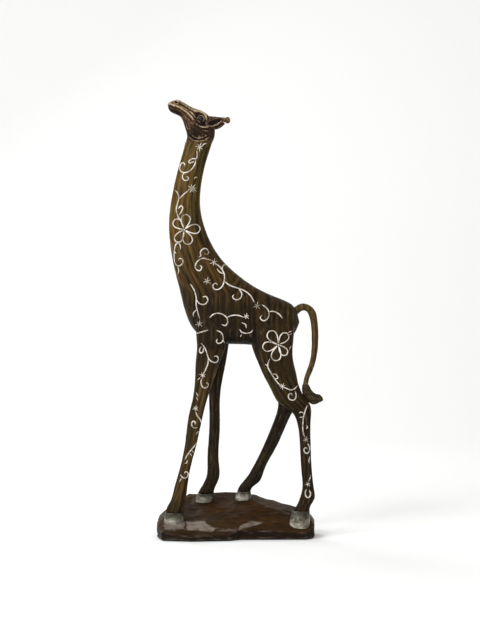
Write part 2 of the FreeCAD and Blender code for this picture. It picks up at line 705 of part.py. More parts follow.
def fit_legs(rock):
    """The legs' separate pieces, each whole limb, the holes of their dowels, and the drilled rock."""
    pieces, limbs, holes = {}, {}, []
    for name, (stations, side, joint_height, sole) in LEGS.items():
        spread = leg_spread(side, sole[2])
        limb = profile_loft(stations, leg_squareness, spread)
        joint = joint_height * stretch("height")
        dowel_spot = at(middle_at(stations, joint_height), spread(joint_height), 0)
        dowel, hole = make_dowel(leg_dowel_radius, leg_dowel_length, dowel_spot, joint)
        coronet = stations[-1][1]
        bite_height = coronet + screw_bite / stretch("height")
        screw_x = (middle_at(stations, coronet) + middle_at(stations, bite_height)) / 2
        screw_spot = at(screw_x, spread(coronet), 0)
        screw, way, pilot = make_foot_screw(screw_spot, coronet * stretch("height"))
        pieces[name + "_leg"] = limb.common(slab(0, joint)).cut(hole).cut(pilot)
        pieces[name + "_hoof"] = make_hoof(stations, spread, sole, rock).cut(way)
        pieces[name + "_dowel"] = dowel
        pieces[name + "_screw"] = screw
        rock = rock.cut(way)
        limbs[name] = limb
        holes.append(hole)
    return pieces, limbs, holes, rock


def fit_face(head):
    """The horns, ears and eyes let into the head: their pieces, and the head with its sockets."""
    pieces = {}
    whole_head = head
    for side, word in ((-1, "left"), (1, "right")):
        horn, horn_socket = make_horn(side)
        ear, ear_socket = make_ear(side, whole_head)
        eye = Part.makeSphere(eye_radius, at(EYE[0], -side * EYE[1], EYE[2]))
        nostril = Part.makeSphere(nostril_radius, at(NOSTRIL[0], -side * NOSTRIL[1], NOSTRIL[2]))
        head = head.cut(eye).cut(horn_socket).cut(ear_socket).cut(nostril)
        pieces[word + "_horn"] = horn
        pieces[word + "_ear"] = ear
        pieces[word + "_eye"] = eye
    pieces["head"] = head
    return pieces


def grown_bodies(neck_joint, head_joint):
    """The neck, the torso and each leg, fatter all round by the scroll line's relief."""
    trunk = profile_loft(TRUNK, trunk_squareness, grow=line_relief)
    torso = trunk.common(slab(0, neck_joint))
    legs = {}
    for name, (stations, side, joint_height, sole) in LEGS.items():
        limb = profile_loft(stations, leg_squareness, leg_spread(side, sole[2]), line_relief)
        joint = joint_height * stretch("height")
        legs[name] = limb.common(slab(stations[-1][1] * stretch("height"), joint))
        torso = torso.fuse(limb.common(slab(joint, statue_height)))
    return trunk.common(slab(neck_joint, head_joint)), torso, legs


def lay_scrolls(neck, torso, limbs, neck_joint, head_joint):
    """The scrollwork on both outer sides, as one group of raised lines for each carving it lies on."""
    grown_neck, grown_torso, grown_legs = grown_bodies(neck_joint, head_joint)
    leg_scrolls = {
        "front": (FRONT_LINES, FRONT_STARS, None),
        "hind": (HIND_LINES, HIND_STARS, HIND_FLOWER),
    }
    trunk_strokes = scroll_strokes(TRUNK_LINES, TRUNK_STARS, TRUNK_FLOWER)
    pieces = {}
    for side, word in ((-1, "left"), (1, "right")):
        lines = raised_lines(trunk_strokes, side, 0.0, grown_neck, neck)
        pieces["neck_scroll_" + word] = Part.Compound(lines)
        torso_lines = raised_lines(trunk_strokes, side, torso_line_root, grown_torso, torso)
        for pair, scroll in leg_scrolls.items():
            name = pair + "_" + word
            put = to_other_leg(name) if side > 0 else None
            strokes = scroll_strokes(*scroll, place=put)
            lines = raised_lines(strokes, side, leg_top_spread, grown_legs[name], limbs[name])
            pieces[name + "_leg_scroll"] = Part.Compound(lines)
            torso_lines.extend(raised_lines(strokes, side, torso_line_root, grown_torso, torso))
        pieces["torso_scroll_" + word] = Part.Compound(torso_lines)
    return pieces


def main():
    os.makedirs("parts", exist_ok=True)
    neck_joint = neck_joint_height * stretch("height")
    head_joint = head_joint_height * stretch("height")
    parts, limbs, leg_holes, rock = fit_legs(make_rock())
    parts["rock"] = rock
    parts["felt_pad"] = make_felt()

    trunk = profile_loft(TRUNK, trunk_squareness)
    torso = trunk.common(slab(0, neck_joint))
    for name, limb in limbs.items():
        joint = LEGS[name][2] * stretch("height")
        torso = torso.fuse(limb.common(slab(joint, statue_height)))
    neck = trunk.common(slab(neck_joint, head_joint))
    head = profile_loft(HEAD, head_squareness).cut(make_mouth())
    parts.update(lay_scrolls(neck, torso, limbs, neck_joint, head_joint))

    tail, tail_socket = make_tail(torso)
    parts["tail_tuft"], tuft_socket = make_tuft(limbs["hind_left"])
    parts["tail"] = tail.cut(tuft_socket)
    torso = torso.cut(tail_socket)
    for hole in leg_holes:
        torso = torso.cut(hole)
    spot = at(middle_at(TRUNK, neck_joint_height), 0, 0)
    parts["neck_dowel"], hole = make_dowel(neck_dowel_radius, neck_dowel_length, spot, neck_joint)
    torso, neck = torso.cut(hole), neck.cut(hole)
    spot = at(middle_at(TRUNK, head_joint_height), 0, 0)
    parts["head_dowel"], hole = make_dowel(head_dowel_radius, head_dowel_length, spot, head_joint)
    parts["torso"] = torso
    parts["neck"] = neck.cut(hole)
    parts.update(fit_face(head.cut(hole)))

    for name, shape in parts.items():
        shape.exportStep(os.path.join("parts", name + ".step"))


main()
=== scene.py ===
import math

import bmesh
import bpy
import numpy as np
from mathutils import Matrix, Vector
from mathutils.bvhtree import BVHTree


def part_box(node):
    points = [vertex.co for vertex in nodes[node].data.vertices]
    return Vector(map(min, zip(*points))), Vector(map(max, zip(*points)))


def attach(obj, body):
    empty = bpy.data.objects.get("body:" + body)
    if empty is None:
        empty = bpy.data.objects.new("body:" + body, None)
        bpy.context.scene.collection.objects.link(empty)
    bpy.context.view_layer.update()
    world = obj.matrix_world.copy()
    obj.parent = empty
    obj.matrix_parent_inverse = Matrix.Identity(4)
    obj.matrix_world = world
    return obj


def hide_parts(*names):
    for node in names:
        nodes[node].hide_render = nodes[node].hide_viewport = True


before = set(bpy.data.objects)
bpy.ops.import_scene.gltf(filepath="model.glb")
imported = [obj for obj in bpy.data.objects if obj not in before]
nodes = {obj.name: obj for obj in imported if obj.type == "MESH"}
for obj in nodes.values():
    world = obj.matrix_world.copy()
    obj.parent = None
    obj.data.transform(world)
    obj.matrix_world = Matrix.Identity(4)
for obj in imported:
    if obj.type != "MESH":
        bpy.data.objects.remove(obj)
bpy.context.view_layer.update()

mm = 0.001
farAway = 1e9
tiny = 1e-9
print("frame loaded:", len(nodes), "nodes")


# meshes are read and written in millimetres

def getArray(items, key, width):
    values = np.empty(len(items) * width, np.float32)
    items.foreach_get(key, values)
    return values.reshape(-1, width).astype(float)


def positionsOf(mesh):
    return getArray(mesh.vertices, "co", 3) / mm


def normalsOf(mesh):
    return getArray(mesh.vertices, "normal", 3)


def setPositions(mesh, co):
    mesh.vertices.foreach_set("co", (co * mm).astype(np.float32).ravel())
    mesh.update()


def getAttribute(mesh, name):
    return getArray(mesh.attributes[name].data, "value", 1)[:, 0]


def setAttribute(mesh, name, values):
    # a value or a vector for each point, in place of any of that name
    if name in mesh.attributes:
        mesh.attributes.remove(mesh.attributes[name])
    kind = "FLOAT" if values.ndim == 1 else "FLOAT_VECTOR"
    layer = mesh.attributes.new(name, kind, "POINT")
    key = "value" if values.ndim == 1 else "vector"
    layer.data.foreach_set(key, values.astype(np.float32).ravel())


def smoothStep(low, high, values):
    t = np.clip((values - low) / (high - low), 0, 1)
    return t * t * (3 - 2 * t)


def blurred(mesh, values, times):
    # each point takes half of its neighbours' mean, several times over
    pairs = np.empty(len(mesh.edges) * 2, np.int32)
    mesh.edges.foreach_get("vertices", pairs)
    a, b = pairs[0::2], pairs[1::2]
    n = len(mesh.vertices)
    count = np.maximum(np.bincount(a, minlength=n) + np.bincount(b, minlength=n), 1)
    columns = values.reshape(n, -1).T.copy()
    for _ in range(times):
        columns = np.array([
            c * 0.5 + 0.5 * (np.bincount(a, c[b], n) + np.bincount(b, c[a], n)) / count for c in columns])
    return columns.T.reshape(values.shape)


def joinedCopy(names, above=None):
    # one mesh of several CAD nodes with its doubles merged; above keeps only what stands higher
    bm = bmesh.new()
    for name in names:
        bm.from_mesh(nodes[name].data)
    bmesh.ops.remove_doubles(bm, verts=bm.verts[:], dist=0.002 * mm)
    if above is not None:
        everything = bm.verts[:] + bm.edges[:] + bm.faces[:]
        bmesh.ops.bisect_plane(
            bm, geom=everything, plane_co=(0, 0, above * mm), plane_no=(0, 0, 1), clear_inner=True)
        bmesh.ops.holes_fill(bm, edges=[e for e in bm.edges if e.is_boundary])
    mesh = bpy.data.meshes.new("copy")
    bm.to_mesh(mesh)
    bm.free()
    return mesh


def remeshed(mesh, size, soften):
    # one skin over all that overlaps, in cells of a size, smoothed a number of times
    work = bpy.data.objects.new("work", mesh)
    bpy.context.scene.collection.objects.link(work)
    voxels = work.modifiers.new("voxels", "REMESH")
    voxels.mode = "VOXEL"
    voxels.voxel_size = size * mm
    smooth = work.modifiers.new("soften", "SMOOTH")
    smooth.factor = 0.5
    smooth.iterations = soften
    view = bpy.context.evaluated_depsgraph_get()
    made = bpy.data.meshes.new_from_object(work.evaluated_get(view))
    bpy.data.objects.remove(work)
    return largestShell(made)


def shellsOf(bm):
    # the points of each separate shell, the largest shell first
    seen, shells = set(), []
    for start in bm.verts:
        if start in seen:
            continue
        shell, queue = [], [start]
        seen.add(start)
        while queue:
            here = queue.pop()
            shell.append(here)
            for edge in here.link_edges:
                other = edge.other_vert(here)
                if other not in seen:
                    seen.add(other)
                    queue.append(other)
        shells.append(shell)
    return sorted(shells, key=len, reverse=True)


def largestShell(mesh):
    bm = bmesh.new()
    bm.from_mesh(mesh)
    for shell in shellsOf(bm)[1:]:
        bmesh.ops.delete(bm, geom=shell, context="VERTS")
    bm.to_mesh(mesh)
    bm.free()
    return mesh


def distanceToLine(spots, line):
    # distance of points from a bent line, both given in two coordinates, and how far along it they are
    best = np.full(len(spots), farAway)
    share = np.zeros(len(spots))
    line = np.array(line, float)
    for k, (a, b) in enumerate(zip(line, line[1:])):
        way = b - a
        t = np.clip(((spots - a) @ way) / max(way @ way, tiny), 0, 1)
        d = np.linalg.norm(spots - a - t[:, None] * way, axis=1)
        nearer = d < best
        best[nearer] = d[nearer]
        share[nearer] = (k + t[nearer]) / (len(line) - 1)
    return best, share


# spreads whole-number cells into values that look random and are the same each run
scatterMix = np.array([[127.1, 269.5, 113.5], [311.7, 183.3, 271.9], [74.7, 246.1, 124.6]])
scatterSize = 43758.5453
cutSettings = {"placeLow": 0.15, "placeSpan": 0.7, "ridgeWidth": 0.55, "farthest": 9.0}


def gougeCuts(co, size, seed):
    # a value of 0 on the ridges between gouge cuts and 1 in their hollows
    q = co / np.array(size, float)
    base = np.floor(q)
    first = np.full(len(co), cutSettings["farthest"])
    second = first.copy()
    for dx in (-1, 0, 1):
        for dy in (-1, 0, 1):
            for dz in (-1, 0, 1):
                cell = base + (dx, dy, dz)
                jitter = np.sin(cell @ scatterMix + seed) * scatterSize
                spot = cell + cutSettings["placeLow"] + cutSettings["placeSpan"] * (jitter - np.floor(jitter))
                d = np.linalg.norm(spot - q, axis=1)
                second = np.where(d < first, first, np.minimum(second, d))
                first = np.minimum(first, d)
    return smoothStep(0.0, cutSettings["ridgeWidth"], second - first)


def profileAlong(co, axis, other, step=4.0):
    # the middle of each slice along an axis, with the least and most of another coordinate in it
    low, high = co[:, axis].min(), co[:, axis].max()
    count = max(int((high - low) / step), 2)
    slot = np.clip(((co[:, axis] - low) / (high - low) * count).astype(int), 0, count - 1)
    least, most = np.full(count, farAway), np.full(count, -farAway)
    np.minimum.at(least, slot, co[:, other])
    np.maximum.at(most, slot, co[:, other])
    full = most > least
    at = low + (np.arange(count) + 0.5) * (high - low) / count
    return at[full], least[full], most[full]


def chamfered(co, corner, part):
    # flattens the four long corners of an upright limb, so that its section is a soft octagon
    z, front, back = profileAlong(co[part], 2, 0)
    _, left, right = profileAlong(co[part], 2, 1)
    here = co[part]
    midX = np.interp(here[:, 2], z, (front + back) / 2)
    halfX = np.interp(here[:, 2], z, (back - front) / 2)
    midY = np.interp(here[:, 2], z, (left + right) / 2)
    halfY = np.interp(here[:, 2], z, (right - left) / 2)
    u, v = (here[:, 0] - midX) / halfX, (here[:, 1] - midY) / halfY
    over = np.maximum(np.abs(u) + np.abs(v) - corner, 0) / 2
    moved = here.copy()
    moved[:, 0] -= np.sign(u) * over * halfX
    moved[:, 1] -= np.sign(v) * over * halfY
    co[part] = moved


def centreLine(co):
    # the middle from front to back at each height
    z, front, back = profileAlong(co, 2, 0)
    return z, (front + back) / 2


def colour(text):
    # an sRGB hex value as linear colour
    parts = [int(text[i:i + 2], 16) / 255 for i in (1, 3, 5)]
    return tuple(c / 12.92 if c <= 0.04045 else ((c + 0.055) / 1.055) ** 2.4 for c in parts) + (1.0,)


def addNode(tree, kind, inputs=None, stops=None, **settings):
    # one node with its settings, its values and links, and the stops of its colour ramp
    node = tree.nodes.new(kind)
    for key, value in settings.items():
        setattr(node, key, value)
    for key, value in (inputs or {}).items():
        if isinstance(value, bpy.types.NodeSocket):
            tree.links.new(value, node.inputs[key])
        else:
            node.inputs[key].default_value = value
    if stops:
        marks = node.color_ramp.elements
        while len(marks) < len(stops):
            marks.new(0.5)
        for mark, (place, text) in zip(marks, stops):
            mark.position = place
            mark.color = colour(text)
    return node


def newMaterial(name):
    material = bpy.data.materials.new(name)
    material.use_nodes = True
    tree = material.node_tree
    tree.nodes.clear()
    return material, tree


bandWidth = 0.314  # the width of one band of a wave texture whose scale is 1


def carvedWood(name, look):
    # stained softwood carved with gouges, under a thin lacquer: long grain streaks, growth rings that loop
    # where the cut crosses them, stain lying dark in the hollows and rubbed off the ridges; the tone and
    # relief values that drive this also carry painted light and shade
    material, tree = newMaterial(name)
    grain = addNode(tree, "ShaderNodeAttribute", attribute_name="grain").outputs["Vector"]
    relief = addNode(tree, "ShaderNodeAttribute", attribute_name="relief").outputs["Fac"]
    tone = addNode(tree, "ShaderNodeAttribute", attribute_name="tone").outputs["Fac"]

    streakScale = (1 / (look["streakWidth"] * mm),) * 2 + (1 / (look["streakLength"] * mm),)
    streakMap = addNode(tree, "ShaderNodeMapping", {"Vector": grain, "Scale": streakScale})
    streak = addNode(tree, "ShaderNodeTexNoise", {
        "Vector": streakMap.outputs["Vector"], "Scale": 1.0, "Detail": 4.0, "Roughness": 0.62}).outputs["Fac"]
    ringMap = addNode(tree, "ShaderNodeMapping", {"Vector": grain, "Scale": (1.0, 0.6, look["ringStretch"])})
    ring = addNode(tree, "ShaderNodeTexWave", {
        "Vector": ringMap.outputs["Vector"], "Scale": bandWidth / (look["ringSpacing"] * mm),
        "Distortion": 11.0, "Detail": 3.0, "Detail Scale": 0.2, "Detail Roughness": 0.55},
        bands_direction="X").outputs["Fac"]
    patchScale = (1 / (look["patchSize"] * mm),) * 2 + (0.35 / (look["patchSize"] * mm),)
    patchMap = addNode(tree, "ShaderNodeMapping", {"Vector": grain, "Scale": patchScale})
    patch = addNode(tree, "ShaderNodeTexNoise", {
        "Vector": patchMap.outputs["Vector"], "Scale": 1.0, "Detail": 3.0, "Roughness": 0.5}).outputs["Fac"]
    rings = addNode(tree, "ShaderNodeMath", {0: ring, 1: look["ringShare"]}, operation="MULTIPLY")
    streakShare = 1.0 - look["ringShare"] * 0.5
    lines = addNode(tree, "ShaderNodeMath", {0: streak, 1: streakShare, 2: rings.outputs[0]},
                    operation="MULTIPLY_ADD").outputs[0]

    # the stain, from its dark range to its light one, with olive and red patches; the tone that picks between
    # them holds painted light and shade as well as the stain's own changes
    darkStops = [(0.3, look["deep"]), (0.52, look["base"]), (0.85, look["pale"])]
    dark = addNode(tree, "ShaderNodeValToRGB", {"Fac": lines}, darkStops).outputs["Color"]
    lightStops = [(0.3, look["deepUp"]), (0.52, look["baseUp"]), (0.85, look["paleUp"])]
    light = addNode(tree, "ShaderNodeValToRGB", {"Fac": lines}, lightStops).outputs["Color"]
    rise = addNode(tree, "ShaderNodeMapRange", {
        "Value": tone, "From Min": 0.5, "From Max": 1.0, "To Min": 0.0, "To Max": 1.0}).outputs["Result"]
    stain = addNode(tree, "ShaderNodeMix", {0: rise, 6: dark, 7: light}, data_type="RGBA").outputs[2]
    tintStops = [(0.36, look["olive"]), (0.62, look["red"])]
    tint = addNode(tree, "ShaderNodeValToRGB", {"Fac": patch}, tintStops).outputs["Color"]
    stained = addNode(tree, "ShaderNodeMix", {0: look["tintShare"], 6: stain, 7: tint},
                      data_type="RGBA", blend_type="OVERLAY").outputs[2]

    # painted shade toward the shadow colour where the tone is low, then dark hollows and rubbed ridges over
    # it; on the head the hollows also hold painted shade and the rubbed colour a painted highlight on faces
    # turned up
    fall = addNode(tree, "ShaderNodeMapRange", {
        "Value": tone, "From Min": 0.5, "From Max": 0.0, "To Min": 0.0, "To Max": 0.8}).outputs["Result"]
    toned = addNode(tree, "ShaderNodeMix", {0: fall, 6: stained, 7: colour(look["shadow"])},
                    data_type="RGBA").outputs[2]
    low = addNode(tree, "ShaderNodeMapRange", {
        "Value": relief, "From Min": -0.08, "From Max": -0.7, "To Min": 0.0,
        "To Max": look["hollowShare"]}).outputs["Result"]
    settled = addNode(tree, "ShaderNodeMix", {0: low, 6: toned, 7: colour(look["hollow"])},
                      data_type="RGBA").outputs[2]
    rubAndHighlight = addNode(tree, "ShaderNodeMath", {0: streak, 1: 0.8, 2: relief},
                      operation="MULTIPLY_ADD").outputs[0]
    high = addNode(tree, "ShaderNodeMapRange", {
        "Value": rubAndHighlight, "From Min": 0.55, "From Max": 1.15, "To Min": 0.0,
        "To Max": look["rubShare"]}).outputs["Result"]
    finished = addNode(tree, "ShaderNodeMix", {0: high, 6: settled, 7: colour(look["rubbed"])},
                       data_type="RGBA").outputs[2]
    rough = addNode(tree, "ShaderNodeMapRange", {
        "Value": lines, "From Min": 0.2, "From Max": 0.9, "To Min": 0.64, "To Max": 0.44}).outputs["Result"]
    bump = addNode(tree, "ShaderNodeBump", {
        "Height": lines, "Strength": look["bump"], "Distance": 0.35 * mm}).outputs["Normal"]
    shader = addNode(tree, "ShaderNodeBsdfPrincipled", {
        "Base Color": finished, "Roughness": rough, "Normal": bump, "IOR": 1.5, "Specular IOR Level": 0.08,
        "Coat Weight": look["lacquer"], "Coat Roughness": 0.3})
    addNode(tree, "ShaderNodeOutputMaterial", {"Surface": shader.outputs["BSDF"]})
    return material


# sizes in mm; the plain colours are for a low tone and those with Up for a high one
bodyLook = {
    "streakWidth": 2.0, "streakLength": 24, "ringSpacing": 8.0, "ringStretch": 0.16, "ringShare": 0.2,
    "patchSize": 18, "tintShare": 0.55,
    "deep": "#140e05", "base": "#2e2410", "pale": "#4e3f1f",
    "deepUp": "#33270f", "baseUp": "#66552b", "paleUp": "#8f7b49",
    "olive": "#6c682e", "red": "#8a5226", "shadow": "#0c0805", "hollow": "#080503", "hollowShare": 0.85,
    "rubbed": "#8c7d5c", "rubShare": 0.45, "bump": 0.45, "lacquer": 0.03,
}
headLook = dict(
    bodyLook, streakWidth=1.0, streakLength=12, ringSpacing=5.0, ringShare=0.2, patchSize=12, tintShare=0.3,
    base="#2b1b0f", pale="#4a3320", deepUp="#2a1e0b", baseUp="#5a4022", paleUp="#8c6f4a",
    rubbed="#c3ad90", rubShare=0.85, hollowShare=0.97)
rockLook = dict(
    bodyLook, streakWidth=2.6, streakLength=16, ringSpacing=15.0, ringStretch=0.5, ringShare=0.12,
    patchSize=22, tintShare=0.35, deep="#1c1108", base="#38260f", pale="#523a1e",
    rubbed="#7f746a", rubShare=0.9, bump=0.4)
bodyWood = carvedWood("stainedCarvedWood", bodyLook)
headWood = carvedWood("dryBrushedCarvedWood", headLook)
rockWood = carvedWood("rubbedHewnWood", rockLook)

silverLook = {"mottleSize": 1.8, "wearSize": 14,
              "stops": [(0.42, "#5f574c"), (0.52, "#a89e90"), (0.6, "#d9d1c5"), (0.72, "#f4eee4")]}


def silverPaint(look):
    # silver relief paint with a cream cast, brushed over a squeezed line: soft metal sheen, grey in its dips
    material, tree = newMaterial("silverReliefPaint")
    place = addNode(tree, "ShaderNodeTexCoord").outputs["Object"]
    mottle = addNode(tree, "ShaderNodeTexNoise", {
        "Vector": place, "Scale": 1 / (look["mottleSize"] * mm), "Detail": 4.0,
        "Roughness": 0.6}).outputs["Fac"]
    wear = addNode(tree, "ShaderNodeTexNoise", {
        "Vector": place, "Scale": 1 / (look["wearSize"] * mm), "Detail": 3.0,
        "Roughness": 0.6}).outputs["Fac"]
    mixed = addNode(tree, "ShaderNodeMath", {0: wear, 1: 1.3, 2: mottle}, operation="MULTIPLY_ADD").outputs[0]
    shade = addNode(tree, "ShaderNodeMath", {0: mixed, 1: 0.5}, operation="MULTIPLY").outputs[0]
    base = addNode(tree, "ShaderNodeValToRGB", {"Fac": shade}, look["stops"]).outputs["Color"]
    rough = addNode(tree, "ShaderNodeMapRange", {
        "Value": mottle, "From Min": 0.3, "From Max": 0.7, "To Min": 0.5, "To Max": 0.3}).outputs["Result"]
    bump = addNode(tree, "ShaderNodeBump", {
        "Height": mottle, "Strength": 0.4, "Distance": 0.2 * mm}).outputs["Normal"]
    shader = addNode(tree, "ShaderNodeBsdfPrincipled", {
        "Base Color": base, "Roughness": rough, "Normal": bump, "Metallic": 0.35})
    addNode(tree, "ShaderNodeOutputMaterial", {"Surface": shader.outputs["BSDF"]})
    return material


hoofLook = {"mottleSize": 11,
            "stops": [(0.45, "#1c170e"), (0.66, "#413c2d"), (0.84, "#7c7768"), (1.0, "#b4ae9f")]}


def hoofPaint(look):
    # silver wax aged to a stone grey over dark wood: bright on the high spots, brown showing through
    material, tree = newMaterial("agedSilverWax")
    place = addNode(tree, "ShaderNodeTexCoord").outputs["Object"]
    relief = addNode(tree, "ShaderNodeAttribute", attribute_name="relief").outputs["Fac"]
    tone = addNode(tree, "ShaderNodeAttribute", attribute_name="tone").outputs["Fac"]
    mottle = addNode(tree, "ShaderNodeTexNoise", {
        "Vector": place, "Scale": 1 / (look["mottleSize"] * mm), "Detail": 4.0,
        "Roughness": 0.65}).outputs["Fac"]
    worn = addNode(tree, "ShaderNodeMath", {0: relief, 1: 0.3, 2: mottle},
                   operation="MULTIPLY_ADD").outputs[0]
    mixed = addNode(tree, "ShaderNodeMath", {0: tone, 1: 0.35, 2: worn}, operation="MULTIPLY_ADD").outputs[0]
    base = addNode(tree, "ShaderNodeValToRGB", {"Fac": mixed}, look["stops"]).outputs["Color"]
    rough = addNode(tree, "ShaderNodeMapRange", {
        "Value": mottle, "From Min": 0.3, "From Max": 0.7, "To Min": 0.6, "To Max": 0.38}).outputs["Result"]
    bump = addNode(tree, "ShaderNodeBump", {
        "Height": mottle, "Strength": 0.5, "Distance": 0.4 * mm}).outputs["Normal"]
    shader = addNode(tree, "ShaderNodeBsdfPrincipled", {
        "Base Color": base, "Roughness": rough, "Normal": bump, "Metallic": 0.25})
    addNode(tree, "ShaderNodeOutputMaterial", {"Surface": shader.outputs["BSDF"]})
    return material


def eyeGlass():
    # black-brown glass bead: near black with a sharp highlight; clouds about 2.5 mm across
    material, tree = newMaterial("darkGlassBead")
    place = addNode(tree, "ShaderNodeTexCoord").outputs["Object"]
    cloud = addNode(tree, "ShaderNodeTexNoise", {
        "Vector": place, "Scale": 1 / (2.5 * mm), "Detail": 2.0}).outputs["Fac"]
    stops = [(0.35, "#080506"), (0.7, "#1c1212")]
    base = addNode(tree, "ShaderNodeValToRGB", {"Fac": cloud}, stops).outputs["Color"]
    shader = addNode(tree, "ShaderNodeBsdfPrincipled", {
        "Base Color": base, "Roughness": 0.18, "IOR": 1.5, "Specular IOR Level": 0.3})
    addNode(tree, "ShaderNodeOutputMaterial", {"Surface": shader.outputs["BSDF"]})
    return material


def dowelBeech():
    # turned beech dowel: pale, with short dark flecks 0.7 mm across and 6 mm long
    material, tree = newMaterial("turnedBeech")
    place = addNode(tree, "ShaderNodeTexCoord").outputs["Object"]
    fleckScale = (1 / (0.7 * mm),) * 2 + (1 / (6 * mm),)
    along = addNode(tree, "ShaderNodeMapping", {"Vector": place, "Scale": fleckScale})
    fleck = addNode(tree, "ShaderNodeTexNoise", {
        "Vector": along.outputs["Vector"], "Scale": 1.0, "Detail": 3.0}).outputs["Fac"]
    stops = [(0.35, "#8f6a45"), (0.6, "#c9a47a")]
    base = addNode(tree, "ShaderNodeValToRGB", {"Fac": fleck}, stops).outputs["Color"]
    shader = addNode(tree, "ShaderNodeBsdfPrincipled", {"Base Color": base, "Roughness": 0.65})
    addNode(tree, "ShaderNodeOutputMaterial", {"Surface": shader.outputs["BSDF"]})
    return material


def screwZinc():
    # zinc-plated steel screw: bluish grey metal with turning marks 0.4 mm apart
    material, tree = newMaterial("zincPlatedSteel")
    place = addNode(tree, "ShaderNodeTexCoord").outputs["Object"]
    markScale = (1 / (4 * mm),) * 2 + (1 / (0.4 * mm),)
    across = addNode(tree, "ShaderNodeMapping", {"Vector": place, "Scale": markScale})
    marks = addNode(tree, "ShaderNodeTexNoise", {
        "Vector": across.outputs["Vector"], "Scale": 1.0, "Detail": 2.0}).outputs["Fac"]
    stops = [(0.3, "#8b9096"), (0.7, "#c3c8cd")]
    base = addNode(tree, "ShaderNodeValToRGB", {"Fac": marks}, stops).outputs["Color"]
    shader = addNode(tree, "ShaderNodeBsdfPrincipled", {
        "Base Color": base, "Roughness": 0.35, "Metallic": 1.0})
    addNode(tree, "ShaderNodeOutputMaterial", {"Surface": shader.outputs["BSDF"]})
    return material


def baseFelt():
    # pressed wool felt: dark green, matt, with a short fuzzy nap about 0.8 mm across
    material, tree = newMaterial("pressedWoolFelt")
    place = addNode(tree, "ShaderNodeTexCoord").outputs["Object"]
    nap = addNode(tree, "ShaderNodeTexNoise", {
        "Vector": place, "Scale": 1 / (0.8 * mm), "Detail": 5.0, "Roughness": 0.7}).outputs["Fac"]
    stops = [(0.35, "#0e1a12"), (0.65, "#22372a")]
    base = addNode(tree, "ShaderNodeValToRGB", {"Fac": nap}, stops).outputs["Color"]
    bump = addNode(tree, "ShaderNodeBump", {
        "Height": nap, "Strength": 0.6, "Distance": 0.3 * mm}).outputs["Normal"]
    shader = addNode(tree, "ShaderNodeBsdfPrincipled", {
        "Base Color": base, "Roughness": 0.95, "Normal": bump, "Sheen Weight": 0.25})
    addNode(tree, "ShaderNodeOutputMaterial", {"Surface": shader.outputs["BSDF"]})
    return material


silver, hoofWax, glass = silverPaint(silverLook), hoofPaint(hoofLook), eyeGlass()
beech, zinc, wool = dowelBeech(), screwZinc(), baseFelt()
print("materials made")


def addPiece(name, mesh, material, replaced):
    # one finished piece, in place of the CAD nodes that it replaces
    mesh.name = name
    mesh.materials.clear()
    mesh.materials.append(material)
    piece = bpy.data.objects.new(name, mesh)
    bpy.context.scene.collection.objects.link(piece)
    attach(piece, "root")
    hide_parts(*replaced)
    return piece


def shadeSmooth(mesh):
    mesh.polygons.foreach_set("use_smooth", np.ones(len(mesh.polygons), bool))


def markRelief(mesh, reach, strength):
    # how far each point stands out of the shape around it: +1 on ridges, -1 in hollows
    co = positionsOf(mesh)
    around = blurred(mesh, co, reach)
    height = ((co - around) * normalsOf(mesh)).sum(1)
    return np.clip(height * strength, -1, 1)


# cuts and ridges on the side view: a name, the line (x, z), its width and its height out of the wood
headCuts = [
    ("nostril", [(-83.0, 596.6), (-79.8, 595.4)], 1.2, -2.4),
    ("nostrilRim", [(-85.6, 597.8), (-82, 598.6), (-78.5, 597.2)], 1.0, 0.6),
    ("noseGroove", [(-77.5, 593.6), (-71.6, 590.4), (-65.1, 586.4), (-60.3, 583.1),
                    (-55.4, 580.6)], 1.2, -1.8),
    ("noseRidge", [(-77.5, 597.3), (-70, 594.0), (-63, 589.4), (-56, 585.4)], 1.6, 0.7),
    ("cheekRidge", [(-92.5, 595.6), (-84, 591.6), (-75.7, 587.6), (-68.4, 582.7), (-61.9, 576.2),
                    (-57.8, 571.0)],
     1.5, 1.1),
    ("cheekLine", [(-65.1, 583.7), (-60.3, 577.6), (-55.4, 571.8)], 0.8, -1.1),
    ("secondRidge", [(-62.7, 582.6), (-58.6, 577.6), (-53.7, 572.3)], 0.9, 0.6),
    ("lowerLine", [(-72.5, 582.0), (-65.1, 574.8), (-60.0, 568.5)], 1.0, -0.8),
    ("mouthLine", [(-95, 593.4), (-90.8, 590.2), (-85.2, 588.0), (-82.3, 586.6)], 0.8, -1.9),
    ("upperLip", [(-94, 595.4), (-88.5, 592.4), (-83, 590.6)], 1.1, 0.6),
    ("underLip", [(-92.5, 588.2), (-87.5, 584.8), (-82.5, 583.0), (-77.5, 580.5)], 1.6, -1.0),
    ("browRidge", [(-57, 583.2), (-51, 582.0), (-45.6, 580.4), (-41.6, 576.0), (-40.2, 570.5)], 1.6, 1.5),
    ("browHollow", [(-54.5, 580.4), (-49.5, 579.6), (-45.2, 577.4), (-43.4, 573.0),
                    (-43.4, 568.6)], 1.3, -1.5),
    ("eyeCorner", [(-55.8, 577.0), (-52.6, 574.8)], 1.0, -1.1),
    ("lowerLid", [(-53.2, 571.8), (-50.5, 568.2), (-46.8, 567.0)], 0.9, 0.6),
    ("underEye", [(-54.5, 569.0), (-51.0, 565.2), (-46.5, 563.6), (-42.5, 563.8)], 1.2, -0.8),
    ("temple", [(-50, 562.0), (-45.5, 560.6), (-40.5, 560.8), (-37.0, 561.6)], 1.0, 0.6),
    ("templeGroove", [(-47.5, 558.4), (-42, 557.6), (-36.0, 558.0)], 1.0, -0.8),
    ("jowl", [(-65.5, 556.5), (-63.2, 549.5), (-58.0, 545.0), (-51.0, 543.2), (-44.0, 544.6), (-38.5, 548.5)],
     1.3, -1.5),
    ("jowlRound", [(-61.5, 554.0), (-57.5, 549.8), (-51.5, 548.0), (-45.0, 549.6)], 3.2, 0.9),
    ("throatLine", [(-68.0, 570.0), (-66.0, 561.0), (-64.5, 553.5)], 0.9, -0.7),
]
